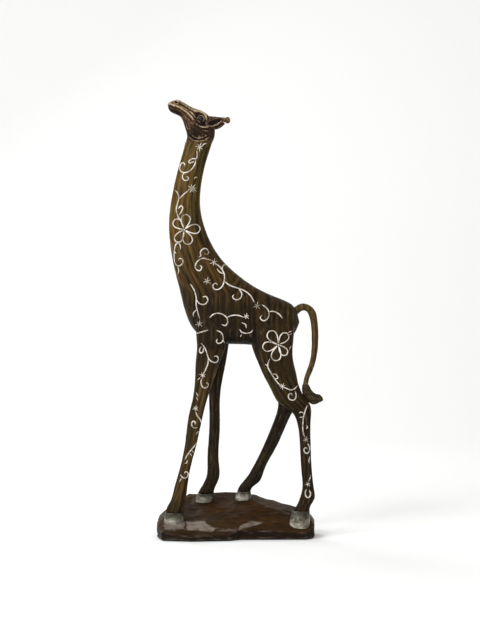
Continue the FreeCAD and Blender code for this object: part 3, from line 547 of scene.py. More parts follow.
neckCuts = [
    ("frontStave", [(-62.5, 541), (-64.2, 524), (-66.5, 510), (-71.5, 495), (-76, 478), (-79.5, 460),
                    (-82, 440),
                    (-82.5, 420), (-81, 400), (-77, 380), (-72, 360)], 0.7, -0.55),
    ("backStave", [(-40.5, 541), (-43, 525), (-48.5, 505), (-53, 485), (-56, 465), (-55.5, 445), (-52.5, 430),
                   (-46, 412), (-36, 395), (-22, 378)], 0.7, -0.55),
    ("crackOne", [(-62, 468), (-63.5, 452), (-64, 440)], 0.5, -0.6),
    ("crackTwo", [(-71, 458), (-71.8, 444)], 0.5, -0.5),
    ("crackThree", [(-53.5, 441), (-50.5, 424)], 0.5, -0.5),
    ("crackFour", [(-60, 402), (-53, 384), (-45, 370)], 0.5, -0.5),
    ("crackFive", [(-52.5, 532), (-56, 516)], 0.5, -0.45),
]
haunchCuts = [
    ("haunchArcOne", [(52, 240), (60, 238), (68, 232)], 0.5, -0.3),
    ("haunchArcTwo", [(50, 232), (58, 230.5), (66, 224)], 0.5, -0.3),
    ("haunchArcThree", [(55, 247), (64, 244), (72, 238)], 0.5, -0.3),
    ("shoulderCrack", [(-40, 300), (-43, 280), (-41, 262)], 0.6, -0.45),
    ("flankEdge", [(-14, 268), (-20, 285), (-34, 300)], 2.0, -0.6),
    ("flankEdgeBack", [(24, 268), (26, 285), (34, 300)], 2.0, -0.6),
]


def applyCuts(co, normals, cuts, zone=None):
    # pushes points along their normals near each line, on both faces of the carving, less at the line's ends
    side = smoothStep(0.2, 0.55, np.abs(normals[:, 1]))
    if zone is not None:
        side = side * zone
    flat = co[:, (0, 2)]
    for _, line, width, lift in cuts:
        near, share = distanceToLine(flat, line)
        taper = 0.45 + 0.55 * np.clip(np.minimum(share, 1 - share) * 5, 0, 1)
        co += normals * (lift * taper * side * np.exp(-(near / width) ** 2))[:, None]


def inOrder(items):
    # each item once, in an order that is the same each run
    return list(dict.fromkeys(items))


cutReach = 6.0  # only faces this near a cut are divided, in mm
smallestPiece = 200  # shells with fewer points are dust from the cut


def cutLevel(bm, level, side):
    # cuts through the faces near one level and parts them there; side keeps to one sign of x, 0 takes both
    near = [f for f in bm.faces
            if abs(f.calc_center_median().z / mm - level) < cutReach and f.calc_center_median().x * side >= 0]
    around = inOrder(v for f in near for v in f.verts) + inOrder(e for f in near for e in f.edges) + near
    made = bmesh.ops.bisect_plane(
        bm, geom=around, dist=0.02 * mm, plane_co=(0, 0, level * mm), plane_no=(0, 0, 1))
    lines = [g for g in made["geom_cut"] if isinstance(g, bmesh.types.BMEdge)]
    bmesh.ops.split_edges(bm, edges=lines)


def partPieces(mesh, cuts):
    # splits a carved body at its joint faces; each piece is closed there and keeps the whole body's shading
    setAttribute(mesh, "wholeNormal", normalsOf(mesh))
    bm = bmesh.new()
    bm.from_mesh(mesh)
    vectors = [bm.verts.layers.float_vector[name] for name in ("wholeNormal", "grain")]
    numbers = [bm.verts.layers.float[name] for name in ("relief", "tone")]
    for level, side in cuts:
        cutLevel(bm, level, side)
    pieces = []
    for shell in shellsOf(bm):
        if len(shell) < smallestPiece:
            continue
        part = bmesh.new()
        pairs = [(old, part.verts.layers.float_vector.new(old.name)) for old in vectors]
        pairs += [(old, part.verts.layers.float.new(old.name)) for old in numbers]
        match = {}
        for vert in shell:
            made = match[vert] = part.verts.new(vert.co)
            for old, new in pairs:
                made[new] = vert[old]
        for face in inOrder(f for v in shell for f in v.link_faces):
            made = part.faces.new([match[v] for v in face.verts])
            made.smooth = True
        rims = [e for e in part.edges if e.is_boundary]
        for edge in rims:
            edge.smooth = False
        for cap in bmesh.ops.holes_fill(part, edges=rims)["faces"]:
            cap.smooth = False
        bmesh.ops.recalc_face_normals(part, faces=part.faces[:])
        made = bpy.data.meshes.new("part")
        part.to_mesh(made)
        part.free()
        pieces.append(made)
    bm.free()
    return pieces


def keepWholeShading(mesh):
    # smooth faces keep the normals of the whole body, flat joint faces take their own
    whole = getArray(mesh.attributes["wholeNormal"].data, "vector", 3)
    corners = np.empty(len(mesh.loops), np.int32)
    mesh.loops.foreach_get("vertex_index", corners)
    wanted = whole[corners]
    for face in mesh.polygons:
        if not face.use_smooth:
            wanted[face.loop_start:face.loop_start + face.loop_total] = face.normal
    mesh.attributes.remove(mesh.attributes["wholeNormal"])
    length = np.linalg.norm(wanted, axis=1, keepdims=True)
    mesh.normals_split_custom_set((wanted / np.maximum(length, 1e-6)).tolist())


limbNames = ["front_left", "front_right", "hind_left", "hind_right"]
# a chamfer's corner is 2 for a square section and 1 for a diamond
bodySettings = {"voxel": 1.15, "soften": 3, "gougeSize": (10, 10, 24), "gougeDepth": 0.45, "seed": 1.3}
legSettings = {"gougeSize": (6.5, 6.5, 19), "gougeDepth": 0.4, "seed": 8.2, "corner": 1.36}
neckSettings = {"voxel": 0.62, "soften": 4, "from": 345, "gougeSize": (9, 9, 44), "gougeDepth": 0.35,
                "seed": 3.1, "corner": 1.36}
headSettings = {"gougeSize": (5, 5, 8), "gougeDepth": 0.22, "seed": 5.7,
                "socketDepth": 1.5, "socketWidth": 4.2}
joints = {"neck": 365.0, "head": 541.0, "front": 258.0, "hind": 232.0}
# heights between which one kind of carving gives way to the next
blends = {"neckCuts": (352, 385), "headEnd": (536, 546), "chamferStart": (384, 420), "chamferEnd": (528, 540),
          "headCuts": (539, 547), "legCuts": (225, 275)}


def blendAt(name, z):
    return smoothStep(*blends[name], z)


def carveTrunk(mesh):
    # the neck and head are cut the same way on both meshes, so that their pieces meet
    co, normals = positionsOf(mesh), normalsOf(mesh)
    upper = blendAt("neckCuts", co[:, 2]) * (1 - blendAt("headEnd", co[:, 2]))
    neckPart = (co[:, 2] > blends["chamferStart"][0]) & (co[:, 2] < blends["chamferEnd"][1])
    before = co.copy()
    chamfered(co, neckSettings["corner"], neckPart)
    co = before + (co - before) * blendAt("chamferStart", before[:, 2])[:, None] * (
        1 - blendAt("chamferEnd", before[:, 2]))[:, None]
    cuts = gougeCuts(co, neckSettings["gougeSize"], neckSettings["seed"])
    co -= normals * (cuts * neckSettings["gougeDepth"] * upper)[:, None]
    applyCuts(co, normals, neckCuts, upper)
    headPart = blendAt("headCuts", co[:, 2])
    cuts = gougeCuts(co, headSettings["gougeSize"], headSettings["seed"])
    co -= normals * (cuts * headSettings["gougeDepth"] * headPart)[:, None]
    return co, normals


trunkNodes = ["torso", "neck", "head", "neck_dowel", "head_dowel"]
hindEdge = {"x": 22, "lean": 0.16, "top": 260}  # the hind legs lie behind this leaning line
frontEdge = -6  # and the front legs before this x
stepBack = 2  # the legs' chamfers start this far above their joint faces
legFade = 40  # and fade in over this much below them


def behindEdge(z):
    return hindEdge["x"] - (hindEdge["top"] - z) * hindEdge["lean"]


def carveBody():
    names = list(trunkNodes)
    for limb in limbNames:
        names += [limb + "_leg", limb + "_dowel", limb + "_screw"]
    mesh = remeshed(joinedCopy(names), bodySettings["voxel"], bodySettings["soften"])
    co, normals = carveTrunk(mesh)
    low = 1 - blendAt("neckCuts", co[:, 2])
    for front in (True, False):
        for left in (True, False):
            level = joints["front"] if front else joints["hind"]
            split = frontEdge if front else behindEdge(co[:, 2])
            part = (co[:, 2] < level + stepBack) & ((co[:, 0] < split) == front) & ((co[:, 1] < 0) == left)
            before = co.copy()
            chamfered(co, legSettings["corner"], part)
            fade = 1 - smoothStep(level - legFade, level, before[:, 2])
            co = before + (co - before) * fade[:, None]
    legShare = 1 - blendAt("legCuts", co[:, 2])
    cuts = gougeCuts(co, bodySettings["gougeSize"], bodySettings["seed"])
    co -= normals * (cuts * bodySettings["gougeDepth"] * low * (1 - legShare))[:, None]
    cuts = gougeCuts(co, legSettings["gougeSize"], legSettings["seed"])
    co -= normals * (cuts * legSettings["gougeDepth"] * low * legShare)[:, None]
    applyCuts(co, normals, haunchCuts, low)
    setPositions(mesh, co)
    return mesh


def carveNeckAndHead():
    # a finer mesh of the upper part only
    source = joinedCopy(trunkNodes, above=neckSettings["from"])
    mesh = remeshed(source, neckSettings["voxel"], neckSettings["soften"])
    co, normals = carveTrunk(mesh)
    socket, _ = distanceToLine(co[:, (0, 2)], [(-51.5, 575.8), (-44.5, 569.2)])
    side = smoothStep(0.3, 0.7, np.abs(normals[:, 1])) * smoothStep(545, 550, co[:, 2])
    dip = headSettings["socketDepth"] * side * np.exp(-(socket / headSettings["socketWidth"]) ** 2)
    co -= normals * dip[:, None]
    applyCuts(co, normals, headCuts, smoothStep(541, 544, co[:, 2]))
    setPositions(mesh, co)
    return mesh


bodyMesh = carveBody()
neckMesh = carveNeckAndHead()
print("carved:", len(bodyMesh.vertices), "and", len(neckMesh.vertices), "points")


def shapeTree(mesh):
    bm = bmesh.new()
    bm.from_mesh(mesh)
    tree = BVHTree.FromBMesh(bm)
    bm.free()
    return tree


bodyTree, neckTree = shapeTree(bodyMesh), shapeTree(neckMesh)


# the middle of the wood's grain at each height, as (z, x)
grainLines = {
    "trunk": [(300, -33), (332, -32), (366, -49), (400, -61), (430, -68.7), (457, -69.7), (490, -65),
              (520, -58),
              (541, -51.5), (600, -51)],
    "front_left": [(24, -85), (40, -82), (63, -76), (90, -70.5), (125, -62), (166, -55), (188, -49),
                   (215, -43),
                   (240, -38), (263, -33), (300, -33)],
    "front_right": [(46, -44), (55, -42), (64, -39), (77, -33), (102, -32), (144, -30), (205, -29.5),
                    (262, -30),
                    (300, -33)],
    "hind_left": [(26, 87), (37, 89), (43, 91.5), (53, 96.5), (86, 97), (127, 94.5), (160, 92), (176, 88),
                  (189, 75), (203, 67.5), (222, 60), (243, 53), (262, 50), (300, 51)],
    "hind_right": [(48, 10), (58, 11), (73, 22), (88, 30), (121, 47), (154, 61.5), (174, 69.5), (184, 72),
                   (197, 68), (225, 59), (262, 53), (300, 51)],
}


def along(name, z):
    table = np.array(grainLines[name], float)
    return np.interp(z, table[:, 0], table[:, 1])


# tone is 0.5 for the plain stain, lower is darker and higher paler; the sets of three are the height where
# a change starts, the height where it is full, and its amount
bodyTones = {
    "trunk": 0.3, "chest": (285, 375, 0.4), "neck": (385, 470, 0.24), "nape": (480, 520, 0.08),
    "leg": 0.22, "legOuter": 0.26, "haunch": (330, 290, 0.2), "hindShin": (190, 165, 0.14),
    "farHindShade": (235, 200, 0.1), "nearFrontLight": (240, 205, 0.16), "bellyShade": (300, 268, 0.25),
    "bands": 0.15, "turned": 0.22,
}
feet = {"hindLeft": 37.5, "hindRight": 58.5, "frontLeft": 35, "frontRight": 55.5}
ridgeSettings = {"fadeFrom": 1, "fadeTo": 9, "below": 90, "legTop": 262, "legFull": 225, "legLoss": 0.45}
legTop = 258  # the legs' values hold below this height
trunkOnly = 360  # and only the trunk's above this one


def toneStep(name, z):
    start, full, amount = bodyTones[name]
    return amount * smoothStep(start, full, z)


def dressBody(mesh, reach, strength):
    # the values that the wood reads: grain direction, relief and tone, the same across the joints
    co = positionsOf(mesh)
    x, y, z = co.T
    left = y < 0
    frontLeg = np.where(left, along("front_left", z), along("front_right", z))
    front = np.where(z > 300, along("trunk", z), frontLeg)
    hind = np.where(left, along("hind_left", z), along("hind_right", z))
    isHind = np.where(z < legTop, (x > behindEdge(z)).astype(float), smoothStep(-12, 42, x))
    isHind = np.where(z > trunkOnly, 0.0, isHind)
    grain = co.copy()
    grain[:, 0] -= front * (1 - isHind) + hind * isHind
    setAttribute(mesh, "grain", grain * mm)

    # relief fades out above the feet, and ridges are weaker on the legs
    hindFoot = np.where(left, feet["hindLeft"], feet["hindRight"])
    foot = np.where(isHind > 0.5, hindFoot, np.where(left, feet["frontLeft"], feet["frontRight"]))
    ridge = ridgeSettings
    fade = smoothStep(ridge["fadeFrom"], ridge["fadeTo"], z - foot)
    relief = markRelief(mesh, reach, strength) * np.where(z < ridge["below"], fade, 1)
    onLeg = smoothStep(ridge["legTop"], ridge["legFull"], z)
    relief = relief * (1 - ridge["legLoss"] * onLeg * (relief > 0))
    setAttribute(mesh, "relief", relief)

    # the chest and neck are paler, partly the stain and partly painted light from above; the legs are paler
    # on their outer faces
    outer = smoothStep(4, 20, np.abs(y))
    tone = bodyTones["trunk"] + toneStep("chest", z) + toneStep("neck", z)
    tone = tone + toneStep("haunch", z) * smoothStep(35, 60, x) * outer * (z > 180)
    tone = np.where(z < legTop, bodyTones["leg"] + bodyTones["legOuter"] * outer, tone)
    tone = tone - toneStep("hindShin", z) * isHind - toneStep("nape", z)
    # painted shade: the far hind leg is darker
    tone = tone - toneStep("farHindShade", z) * isHind * (y > 0)
    # painted light: the near front leg is paler
    tone = tone + toneStep("nearFrontLight", z) * (1 - isHind) * left * smoothStep(40, 60, z)

    # slow wavy bands run along the grain
    u = grain[:, 0]
    bands = 0.6 * np.sin(u * 0.4 + 1.3 * np.sin(z * 0.035) + y * 0.2) + 0.4 * np.sin(
        u * 0.93 + 2.1 * np.sin(z * 0.023 + 2.0) - y * 0.3 + 1.1)
    tone = tone + bodyTones["bands"] * bands

    # painted light and shade: the neck's facets turned to the front are painted paler and those turned partly
    # back painted darker, and painted shade darkens the underside of the belly
    facing = blurred(mesh, normalsOf(mesh), 4)[:, 0]
    backFacetShade = smoothStep(0.1, 0.45, facing) * (1 - smoothStep(0.7, 0.95, facing))
    turned = bodyTones["turned"] * (smoothStep(0.3, 0.75, -facing) - backFacetShade)
    tone = tone + turned * smoothStep(350, 420, z)
    bellyShadeMask = smoothStep(-22, -6, x) * (1 - smoothStep(24, 40, x)) * (z > 255)
    setAttribute(mesh, "tone", np.clip(tone - toneStep("bellyShade", z) * bellyShadeMask, 0, 1))


muzzleSlope = (0.54, 0.84)  # across and along the muzzle on the side view


def dressHead(mesh):
    # the head's grain runs along its muzzle; the muzzle is paler; painted shade darkens the eye's socket, the
    # underside of the jaw and the faces turned down at the front, a painted highlight with dry-brushing
    # lightens the faces turned up on top, and the throat's patch is darker
    co = positionsOf(mesh)
    x, y, z = co.T
    across, along = muzzleSlope
    grain = np.stack([x * across + z * along, y, -x * along + z * across], 1)
    muzzle = smoothStep(560, 592, z + (-50 - x) * 0.35)
    tone = 0.5 + 0.42 * muzzle + 0.3 * smoothStep(547, 541, z)
    patch = np.exp(-(((x + 57) / 7) ** 2 + ((z - 551) / 5) ** 2))
    upward = blurred(mesh, normalsOf(mesh), 4)[:, 2]
    # painted shade: faces turned down under the muzzle are darker
    under = smoothStep(0.1, -0.5, upward) * smoothStep(-62, -70, x)
    flat = co[:, (0, 2)]
    socket, _ = distanceToLine(flat, [(-52.5, 576.5), (-48, 572.5), (-45, 567.5)])
    jawShadeDistance, _ = distanceToLine(flat, [(-91.5, 588), (-85, 584.5), (-77, 580)])
    side = smoothStep(0.2, 0.6, np.abs(normalsOf(mesh)[:, 1]))
    relief = getAttribute(mesh, "relief")
    # painted shade in the eye's socket and along the underside of the jaw
    relief = relief - 1.0 * side * np.exp(-(socket / 4.4) ** 2) - 0.7 * np.exp(-(jawShadeDistance / 3.2) ** 2)
    # painted highlight, together with dry-brushing, on the faces turned up on top of the head
    toplitDryBrush = smoothStep(0.35, 0.75, upward) * smoothStep(566, 576, z)
    relief = relief + toplitDryBrush * (0.42 + 0.5 * np.clip(relief, -1, 0) - relief * 0.5) - 0.3 * patch
    setAttribute(mesh, "grain", grain * mm)
    setAttribute(mesh, "relief", np.clip(relief, -1, 1))
    setAttribute(mesh, "tone", np.clip(tone - 0.35 * patch - 0.35 * under, 0, 1))


dressBody(bodyMesh, 8, 1.6)
dressBody(neckMesh, 14, 2.0)
for mesh in partPieces(bodyMesh, [(joints["neck"], 0), (joints["front"], -1), (joints["hind"], 1)]):
    co = positionsOf(mesh)
    middle = co.mean(0)
    if middle[2] > joints["neck"]:
        continue
    keepWholeShading(mesh)
    if co[:, 2].max() > 300:
        addPiece("torsoCarving", mesh, bodyWood, ["torso"])
        continue
    isFront = co[:, 2].max() > joints["hind"] + 5
    limb = ("front_" if isFront else "hind_") + ("left" if middle[1] < 0 else "right")
    addPiece(limb + "_legCarving", mesh, bodyWood, [limb + "_leg"])
for mesh in partPieces(neckMesh, [(joints["neck"], 0), (joints["head"], 0)]):
    middle = positionsOf(mesh).mean(0)[2]
    if middle > joints["head"]:
        keepWholeShading(mesh)
        dressHead(mesh)
        addPiece("headCarving", mesh, headWood, ["head"])
    elif middle > joints["neck"]:
        keepWholeShading(mesh)
        addPiece("neckCarving", mesh, bodyWood, ["neck"])
print("body parted at its joints")


def carvePart(name, settings, material, cutsFor=None):
    # a smaller CAD node, remeshed, gouged and given the wood's values
    mesh = remeshed(joinedCopy([name]), settings["voxel"], settings["soften"])
    co, normals = positionsOf(mesh), normalsOf(mesh)
    start = co.copy()
    cuts = gougeCuts(co, settings["gougeSize"], settings["seed"])
    co -= normals * (cuts * settings["gougeDepth"])[:, None]
    if cutsFor:
        co = cutsFor(co, normals, start)
    setPositions(mesh, co)
    shadeSmooth(mesh)
    setAttribute(mesh, "relief", markRelief(mesh, settings["reliefReach"], settings["reliefStrength"]))
    grain = co.copy()
    if settings.get("followsLine"):
        z, middle = centreLine(co)
        grain[:, 0] -= np.interp(co[:, 2], z, middle)
    if settings.get("lying"):
        grain = grain[:, (2, 1, 0)]
    setAttribute(mesh, "grain", grain * mm)
    tone = np.full(len(co), settings["tone"])
    if "toneFall" in settings:
        tone = tone - settings["toneFall"] * smoothStep(co[:, 2].min() + 5, co[:, 2].max(), co[:, 2])
    setAttribute(mesh, "tone", tone)
    return addPiece(name + "_carving", mesh, material, [name])


tailSettings = {"voxel": 0.7, "soften": 2, "gougeSize": (4, 4, 15), "gougeDepth": 0.3, "seed": 2.2,
                "reliefReach": 8, "reliefStrength": 2.4, "tone": 0.74, "followsLine": True}
tuftSettings = {"voxel": 0.55, "soften": 2, "gougeSize": (5, 5, 8), "gougeDepth": 0.25, "seed": 6.1,
                "reliefReach": 8, "reliefStrength": 2.6, "tone": 0.25, "lying": True}
hornSettings = {"voxel": 0.42, "soften": 3, "gougeSize": (4, 3, 3), "gougeDepth": 0.2, "seed": 9.4,
                "reliefReach": 8, "reliefStrength": 3.0, "tone": 0.85, "lying": True}
earSettings = {"voxel": 0.42, "soften": 3, "gougeSize": (6, 3, 4), "gougeDepth": 0.15, "seed": 4.4,
               "reliefReach": 8, "reliefStrength": 3.0, "tone": 0.6, "lying": True,
               "rimLine": [(-39.5, 562.6), (-33.0, 561.6), (-26.0, 563.6), (-20.0, 568.0)]}
rockSettings = {"voxel": 1.25, "soften": 2, "gougeSize": (34, 24, 14), "gougeDepth": 1.2, "seed": 12.7,
                "reliefReach": 16, "reliefStrength": 0.7, "tone": 0.45, "lying": True,
                "seatRoom": 5.0, "baseRoom": 4.0}
hoofSettings = {"voxel": 0.6, "soften": 2, "gougeSize": (7, 7, 5), "gougeDepth": 0.35, "seed": 7.7,
                "reliefReach": 10, "reliefStrength": 1.6, "tone": 0.9, "toneFall": 0.7}


def hairGrooves(co, normals, start):
    # the tuft's hair: shallow grooves that run from the tail to the flicked tip
    x, z = start[:, 0], start[:, 2]
    across = (z - 209) * 0.55 + (x - 90) * 0.75
    wave = np.sin(across * 2.4 + np.sin((x - z) * 0.15) * 1.4)
    side = smoothStep(0.15, 0.5, np.abs(normals[:, 1]))
    return co + normals * (0.28 * wave * side)[:, None]


def earRim(co, normals, start):
    # a raised edge along the ear's lower side, and a scooped middle
    near, _ = distanceToLine(start[:, (0, 2)], earSettings["rimLine"])
    outer = smoothStep(0.0, 0.4, np.abs(normals[:, 1]))
    co = co + normals * (0.7 * outer * np.exp(-(near / 0.9) ** 2))[:, None]
    hollow, _ = distanceToLine(start[:, (0, 2)], [(-35, 565.5), (-28, 567.5), (-23, 569)])
    return co - normals * (0.9 * outer * np.exp(-(hollow / 2.0) ** 2))[:, None]


def rockHewing(co, normals, start):
    # the hewing leaves alone the seats of the hooves and the lower edge on the felt
    free = smoothStep(0.5, rockSettings["baseRoom"], start[:, 2] - start[:, 2].min())
    for limb in limbNames:
        low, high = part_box(limb + "_hoof")
        gapX = np.maximum(np.maximum(low.x / mm - start[:, 0], start[:, 0] - high.x / mm), 0)
        gapY = np.maximum(np.maximum(low.y / mm - start[:, 1], start[:, 1] - high.y / mm), 0)
        free = free * smoothStep(1.0, rockSettings["seatRoom"], np.hypot(gapX, gapY))
    fine = gougeCuts(start, (13, 10, 6), 31.9)
    deep = (co - start) - normals * (fine * 0.3)[:, None]
    return start + deep * free[:, None]


# rubbed patches on the near rim of the rock, as outlines on the side view: (outline, how pale)
rimPatches = [
    ([(-99, 26.0), (-84, 27.5), (-69.5, 26.5), (-69, 15.0), (-83, 14.0), (-97, 15.5)], 0.85),
    ([(-67.5, 26.0), (-60, 25.0), (-52, 28.0), (-45, 24.5), (-36, 19.5), (-27, 15.5), (-30, 13.0),
      (-50, 13.5),
      (-67, 14.5)], 1.0),
    ([(-26, 16.0), (-12, 15.5), (1, 16.5), (2, 12.5), (-12, 12.0), (-26, 12.5)], 0.5),
    ([(3, 14.5), (14, 16.5), (25, 18.0), (36, 21.5), (47, 27.5), (42, 29.0), (30, 27.5), (15, 22.5),
      (6, 18.5)], 0.95),
]


def insideOutline(spots, outline):
    # 1 inside a closed outline, falling to 0 across its edge over about 3 mm
    corners = np.array(outline, float)
    x, z = spots.T
    inside = np.zeros(len(spots), bool)
    for (x1, z1), (x2, z2) in zip(corners, np.roll(corners, -1, axis=0)):
        crosses = (z1 > z) != (z2 > z)
        reach = (x2 - x1) * (z - z1) / (z2 - z1 if z2 != z1 else tiny) + x1
        inside ^= crosses & (x < reach)
    near, _ = distanceToLine(spots, list(corners) + [corners[0]])
    return smoothStep(-1.6, 1.4, np.where(inside, near, -near))


def markRubbedRim(piece):
    # hewn facets of the rim are rubbed pale here and there, and the steep sides are darker than the top
    mesh = piece.data
    co = positionsOf(mesh)
    x, y, z = co.T
    soft = blurred(mesh, normalsOf(mesh), 5)
    soft /= np.linalg.norm(soft, axis=1, keepdims=True)
    slope = smoothStep(0.5, 0.64, soft[:, 2]) * (1 - smoothStep(0.87, 0.92, soft[:, 2]))
    outward = np.clip(smoothStep(24, 30, np.abs(y)) + smoothStep(84, 92, np.abs(x)), 0, 1)
    broken = np.sin(x * 0.085 + y * 0.05 + 1.2) * np.sin(x * 0.031 + 0.4)
    far = slope * outward * smoothStep(0.1, 0.5, broken) * smoothStep(8, 11, z) * (1 - smoothStep(32, 40, z))
    near = np.zeros(len(co))
    wander = 0.35 * np.sin(x * 0.9 + z * 0.5) + 0.4 * np.sin(x * 0.37 - z * 1.1 + 2.0)
    uneven = np.stack([x + wander, z + 0.6 * wander], 1)
    for outline, amount in rimPatches:
        near = np.maximum(near, amount * insideOutline(uneven, outline))
    relief = getAttribute(mesh, "relief")
    rim = np.where(y < 0, near * smoothStep(-22, -28, y), far * 0.8)
    rim = rim * (0.72 + 0.14 * np.sin(x * 0.35 + 0.6) * np.sin(x * 0.13 + z * 0.4) + 0.14 * relief)
    tone = getAttribute(mesh, "tone")
    steep = 1 - smoothStep(0.2, 0.5, soft[:, 2])
    setAttribute(mesh, "relief", np.clip(np.clip(relief * 0.5, -0.6, 0.25) + rim * 0.95, -1, 1))
    setAttribute(mesh, "tone", np.clip(tone - 0.42 * steep * (1 - rim), 0, 1))


def markEarInside(piece):
    # the scooped middle of the ear is dark
    mesh = piece.data
    co = positionsOf(mesh)
    hollow, _ = distanceToLine(co[:, (0, 2)], [(-36, 565.5), (-28, 567.5), (-23, 569)])
    relief = getAttribute(mesh, "relief")
    setAttribute(mesh, "relief", np.clip(relief - 0.9 * np.exp(-(hollow / 2.2) ** 2), -1, 1))


carvePart("tail", tailSettings, bodyWood)
carvePart("tail_tuft", tuftSettings, bodyWood, hairGrooves)
for side in ("left", "right"):
    carvePart(side + "_horn", hornSettings, headWood)
    markEarInside(carvePart(side + "_ear", earSettings, headWood, earRim))
markRubbedRim(carvePart("rock", rockSettings, rockWood, rockHewing))
for limb in limbNames:
    carvePart(limb + "_hoof", hoofSettings, hoofWax)
print("smaller carvings made")


# the scrollwork's strokes on the side view, as (x, z)
scrollSettings = {"width": 1.85, "sunk": 0.2, "pointSpacing": 0.7, "ringPoints": 8, "unevenness": 0.12,
                  "startAway": 90, "leastFacing": 0.12}
trunkLines = [
    [(-46, 535.5), (-43, 538), (-40.5, 538.8)],
    [(-53.5, 529), (-53, 522), (-54, 517.5), (-59.5, 517.5), (-64.5, 514), (-63, 511.5), (-59.5, 512.5),
     (-57, 514.5)],
    [(-55, 515), (-56.5, 509), (-61, 502.5), (-66.5, 499), (-72, 498.5), (-76, 501.5), (-77, 506),
     (-75.5, 511),
     (-72.5, 512.5), (-70, 510), (-71, 507)],
    [(-70, 498), (-73, 495), (-72.5, 490), (-69.5, 487.5), (-65.5, 488.5), (-65, 492), (-68, 492.5)],
    [(-56.5, 489.5), (-55.5, 492.5), (-53, 492)],
    [(-64.5, 474.5), (-71, 468.8), (-78.3, 461.5)],
    [(-83.5, 474.8), (-80, 471), (-78, 465.5), (-78.3, 461.5), (-80.5, 454), (-81.5, 447), (-79.5, 439.5),
     (-76, 434), (-73.5, 431)],
    [(-79, 448.5), (-75, 453), (-72.5, 450), (-74.5, 444.5), (-78.3, 439.5)],
    [(-78.5, 403.5), (-82.5, 399), (-84, 391.5), (-84.5, 383.5), (-83.5, 375.5), (-80, 371), (-75.5, 371.5),
     (-72, 375.5), (-73.5, 380), (-77, 381), (-78.3, 378)],
    [(-79, 402.5), (-76, 399), (-75.5, 392.5)],
    [(-85, 391.5), (-81.5, 388)],
    [(-80, 370.5), (-78, 364.5), (-79.5, 359)],
    [(-50.5, 382.5), (-47.5, 384.5), (-48.5, 388.5), (-46, 393), (-41.5, 394.5), (-37.5, 391), (-38, 387),
     (-41, 386.5), (-43, 388.5)],
    [(-33.5, 378.5), (-39.5, 380), (-45.5, 381), (-51.5, 377.5), (-55, 372.5), (-55, 367), (-50.5, 364),
     (-47.5, 365.5), (-46.5, 369.5), (-49, 371)],
    [(-27, 373.5), (-20.5, 368), (-17, 362.5), (-15.5, 357.5), (-16, 350), (-18.5, 343), (-24, 338.5),
     (-30, 339.5),
     (-31, 344.5), (-27.5, 347), (-25, 344.5)],
    [(-26, 367), (-22.5, 362.5), (-17, 360)],
    [(-18.5, 365.5), (-18.5, 369.5), (-16, 372.5), (-12, 372)],
    [(-16.5, 350), (-8, 344), (2, 340.5), (12, 336.5), (20, 330), (25, 321)],
    [(4, 339.5), (8, 333), (6, 326.5), (0, 324.5), (-4.5, 328), (-2.5, 332)],
    [(-62, 346), (-57, 338), (-54, 328), (-54, 317), (-51.5, 306), (-49, 298)],
    [(-54, 325), (-49, 319), (-42, 318.5), (-38, 323.5), (-40.5, 329), (-45.5, 328)],
    [(-54, 311), (-58, 306), (-57.5, 301)],
    [(-36, 300), (-30, 305), (-22, 306), (-14, 302), (-11, 295), (-14, 289.5), (-19.5, 291)],
    [(-13, 300), (-6, 303), (2, 303.5), (10, 301)],
    [(5, 284.5), (8, 280.3), (14.5, 279), (20.5, 280.3), (23, 284)],
    [(7.5, 277.5), (6, 274)],
    [(18.5, 277.5), (20, 274.5)],
    [(14, 286), (13, 291), (7.5, 293.5)],
    [(35, 318), (42, 313), (45, 306), (43, 299), (37.5, 296), (33, 299.5), (35.5, 304)],
    [(45, 308.5), (52, 308.5), (58.5, 305), (63, 299.5)],
]
frontLines = [
    [(-55, 278.5), (-47.5, 280.5), (-37.5, 283.5)],
    [(-26.5, 283), (-20, 280), (-17.5, 274.5), (-17.5, 269.5), (-20, 266.3), (-24, 265.3), (-26.5, 268),
     (-25, 271.5)],
    [(-17.5, 270), (-15, 265.5)],
    [(-47.5, 265.5), (-43, 260.5), (-40, 254), (-38, 247.5), (-36, 243), (-32.5, 240.5), (-28, 239.2),
     (-24.5, 241.5), (-24, 245.5), (-26.5, 248.3), (-29.5, 247.3)],
    [(-43.5, 259.5), (-44.5, 254.5), (-47.5, 252), (-49.5, 255), (-48, 260), (-45.3, 260.5)],
    [(-37.5, 245), (-38, 238), (-40.5, 231), (-43, 225.5)],
    [(-48.5, 218.8), (-52, 215.5)],
    [(-46.7, 217.5), (-47.3, 211), (-44.5, 205.5), (-40.3, 205), (-37.5, 208), (-38.3, 211.5), (-41, 211.5)],
    [(-54, 198.5), (-51.5, 193.5)],
    [(-53.5, 192.5), (-51.8, 188)],
    [(-54.5, 172.5), (-52.5, 167), (-48.5, 161.5), (-47.2, 156), (-47, 151)],
    [(-52.3, 151.2), (-56, 150.2), (-59.3, 152.5), (-60, 157), (-57.8, 160), (-55, 158), (-56, 155.3)],
    [(-49.5, 145.5), (-53, 144), (-54, 141.5)],
    [(-52.5, 131.5), (-57, 125), (-62, 119), (-66, 113.5), (-69.5, 107)],
    [(-63, 117), (-59.5, 111.5)],
    [(-59.8, 120.5), (-57.7, 116.5)],
    [(-66.5, 107.5), (-66.3, 103.5), (-69.5, 102.3)],
    [(-75.3, 87.5), (-73.3, 84), (-69, 82.3), (-65.5, 85), (-65.3, 89.3), (-68, 91.2), (-70.3, 89)],
    [(-74, 82), (-77, 77)],
]
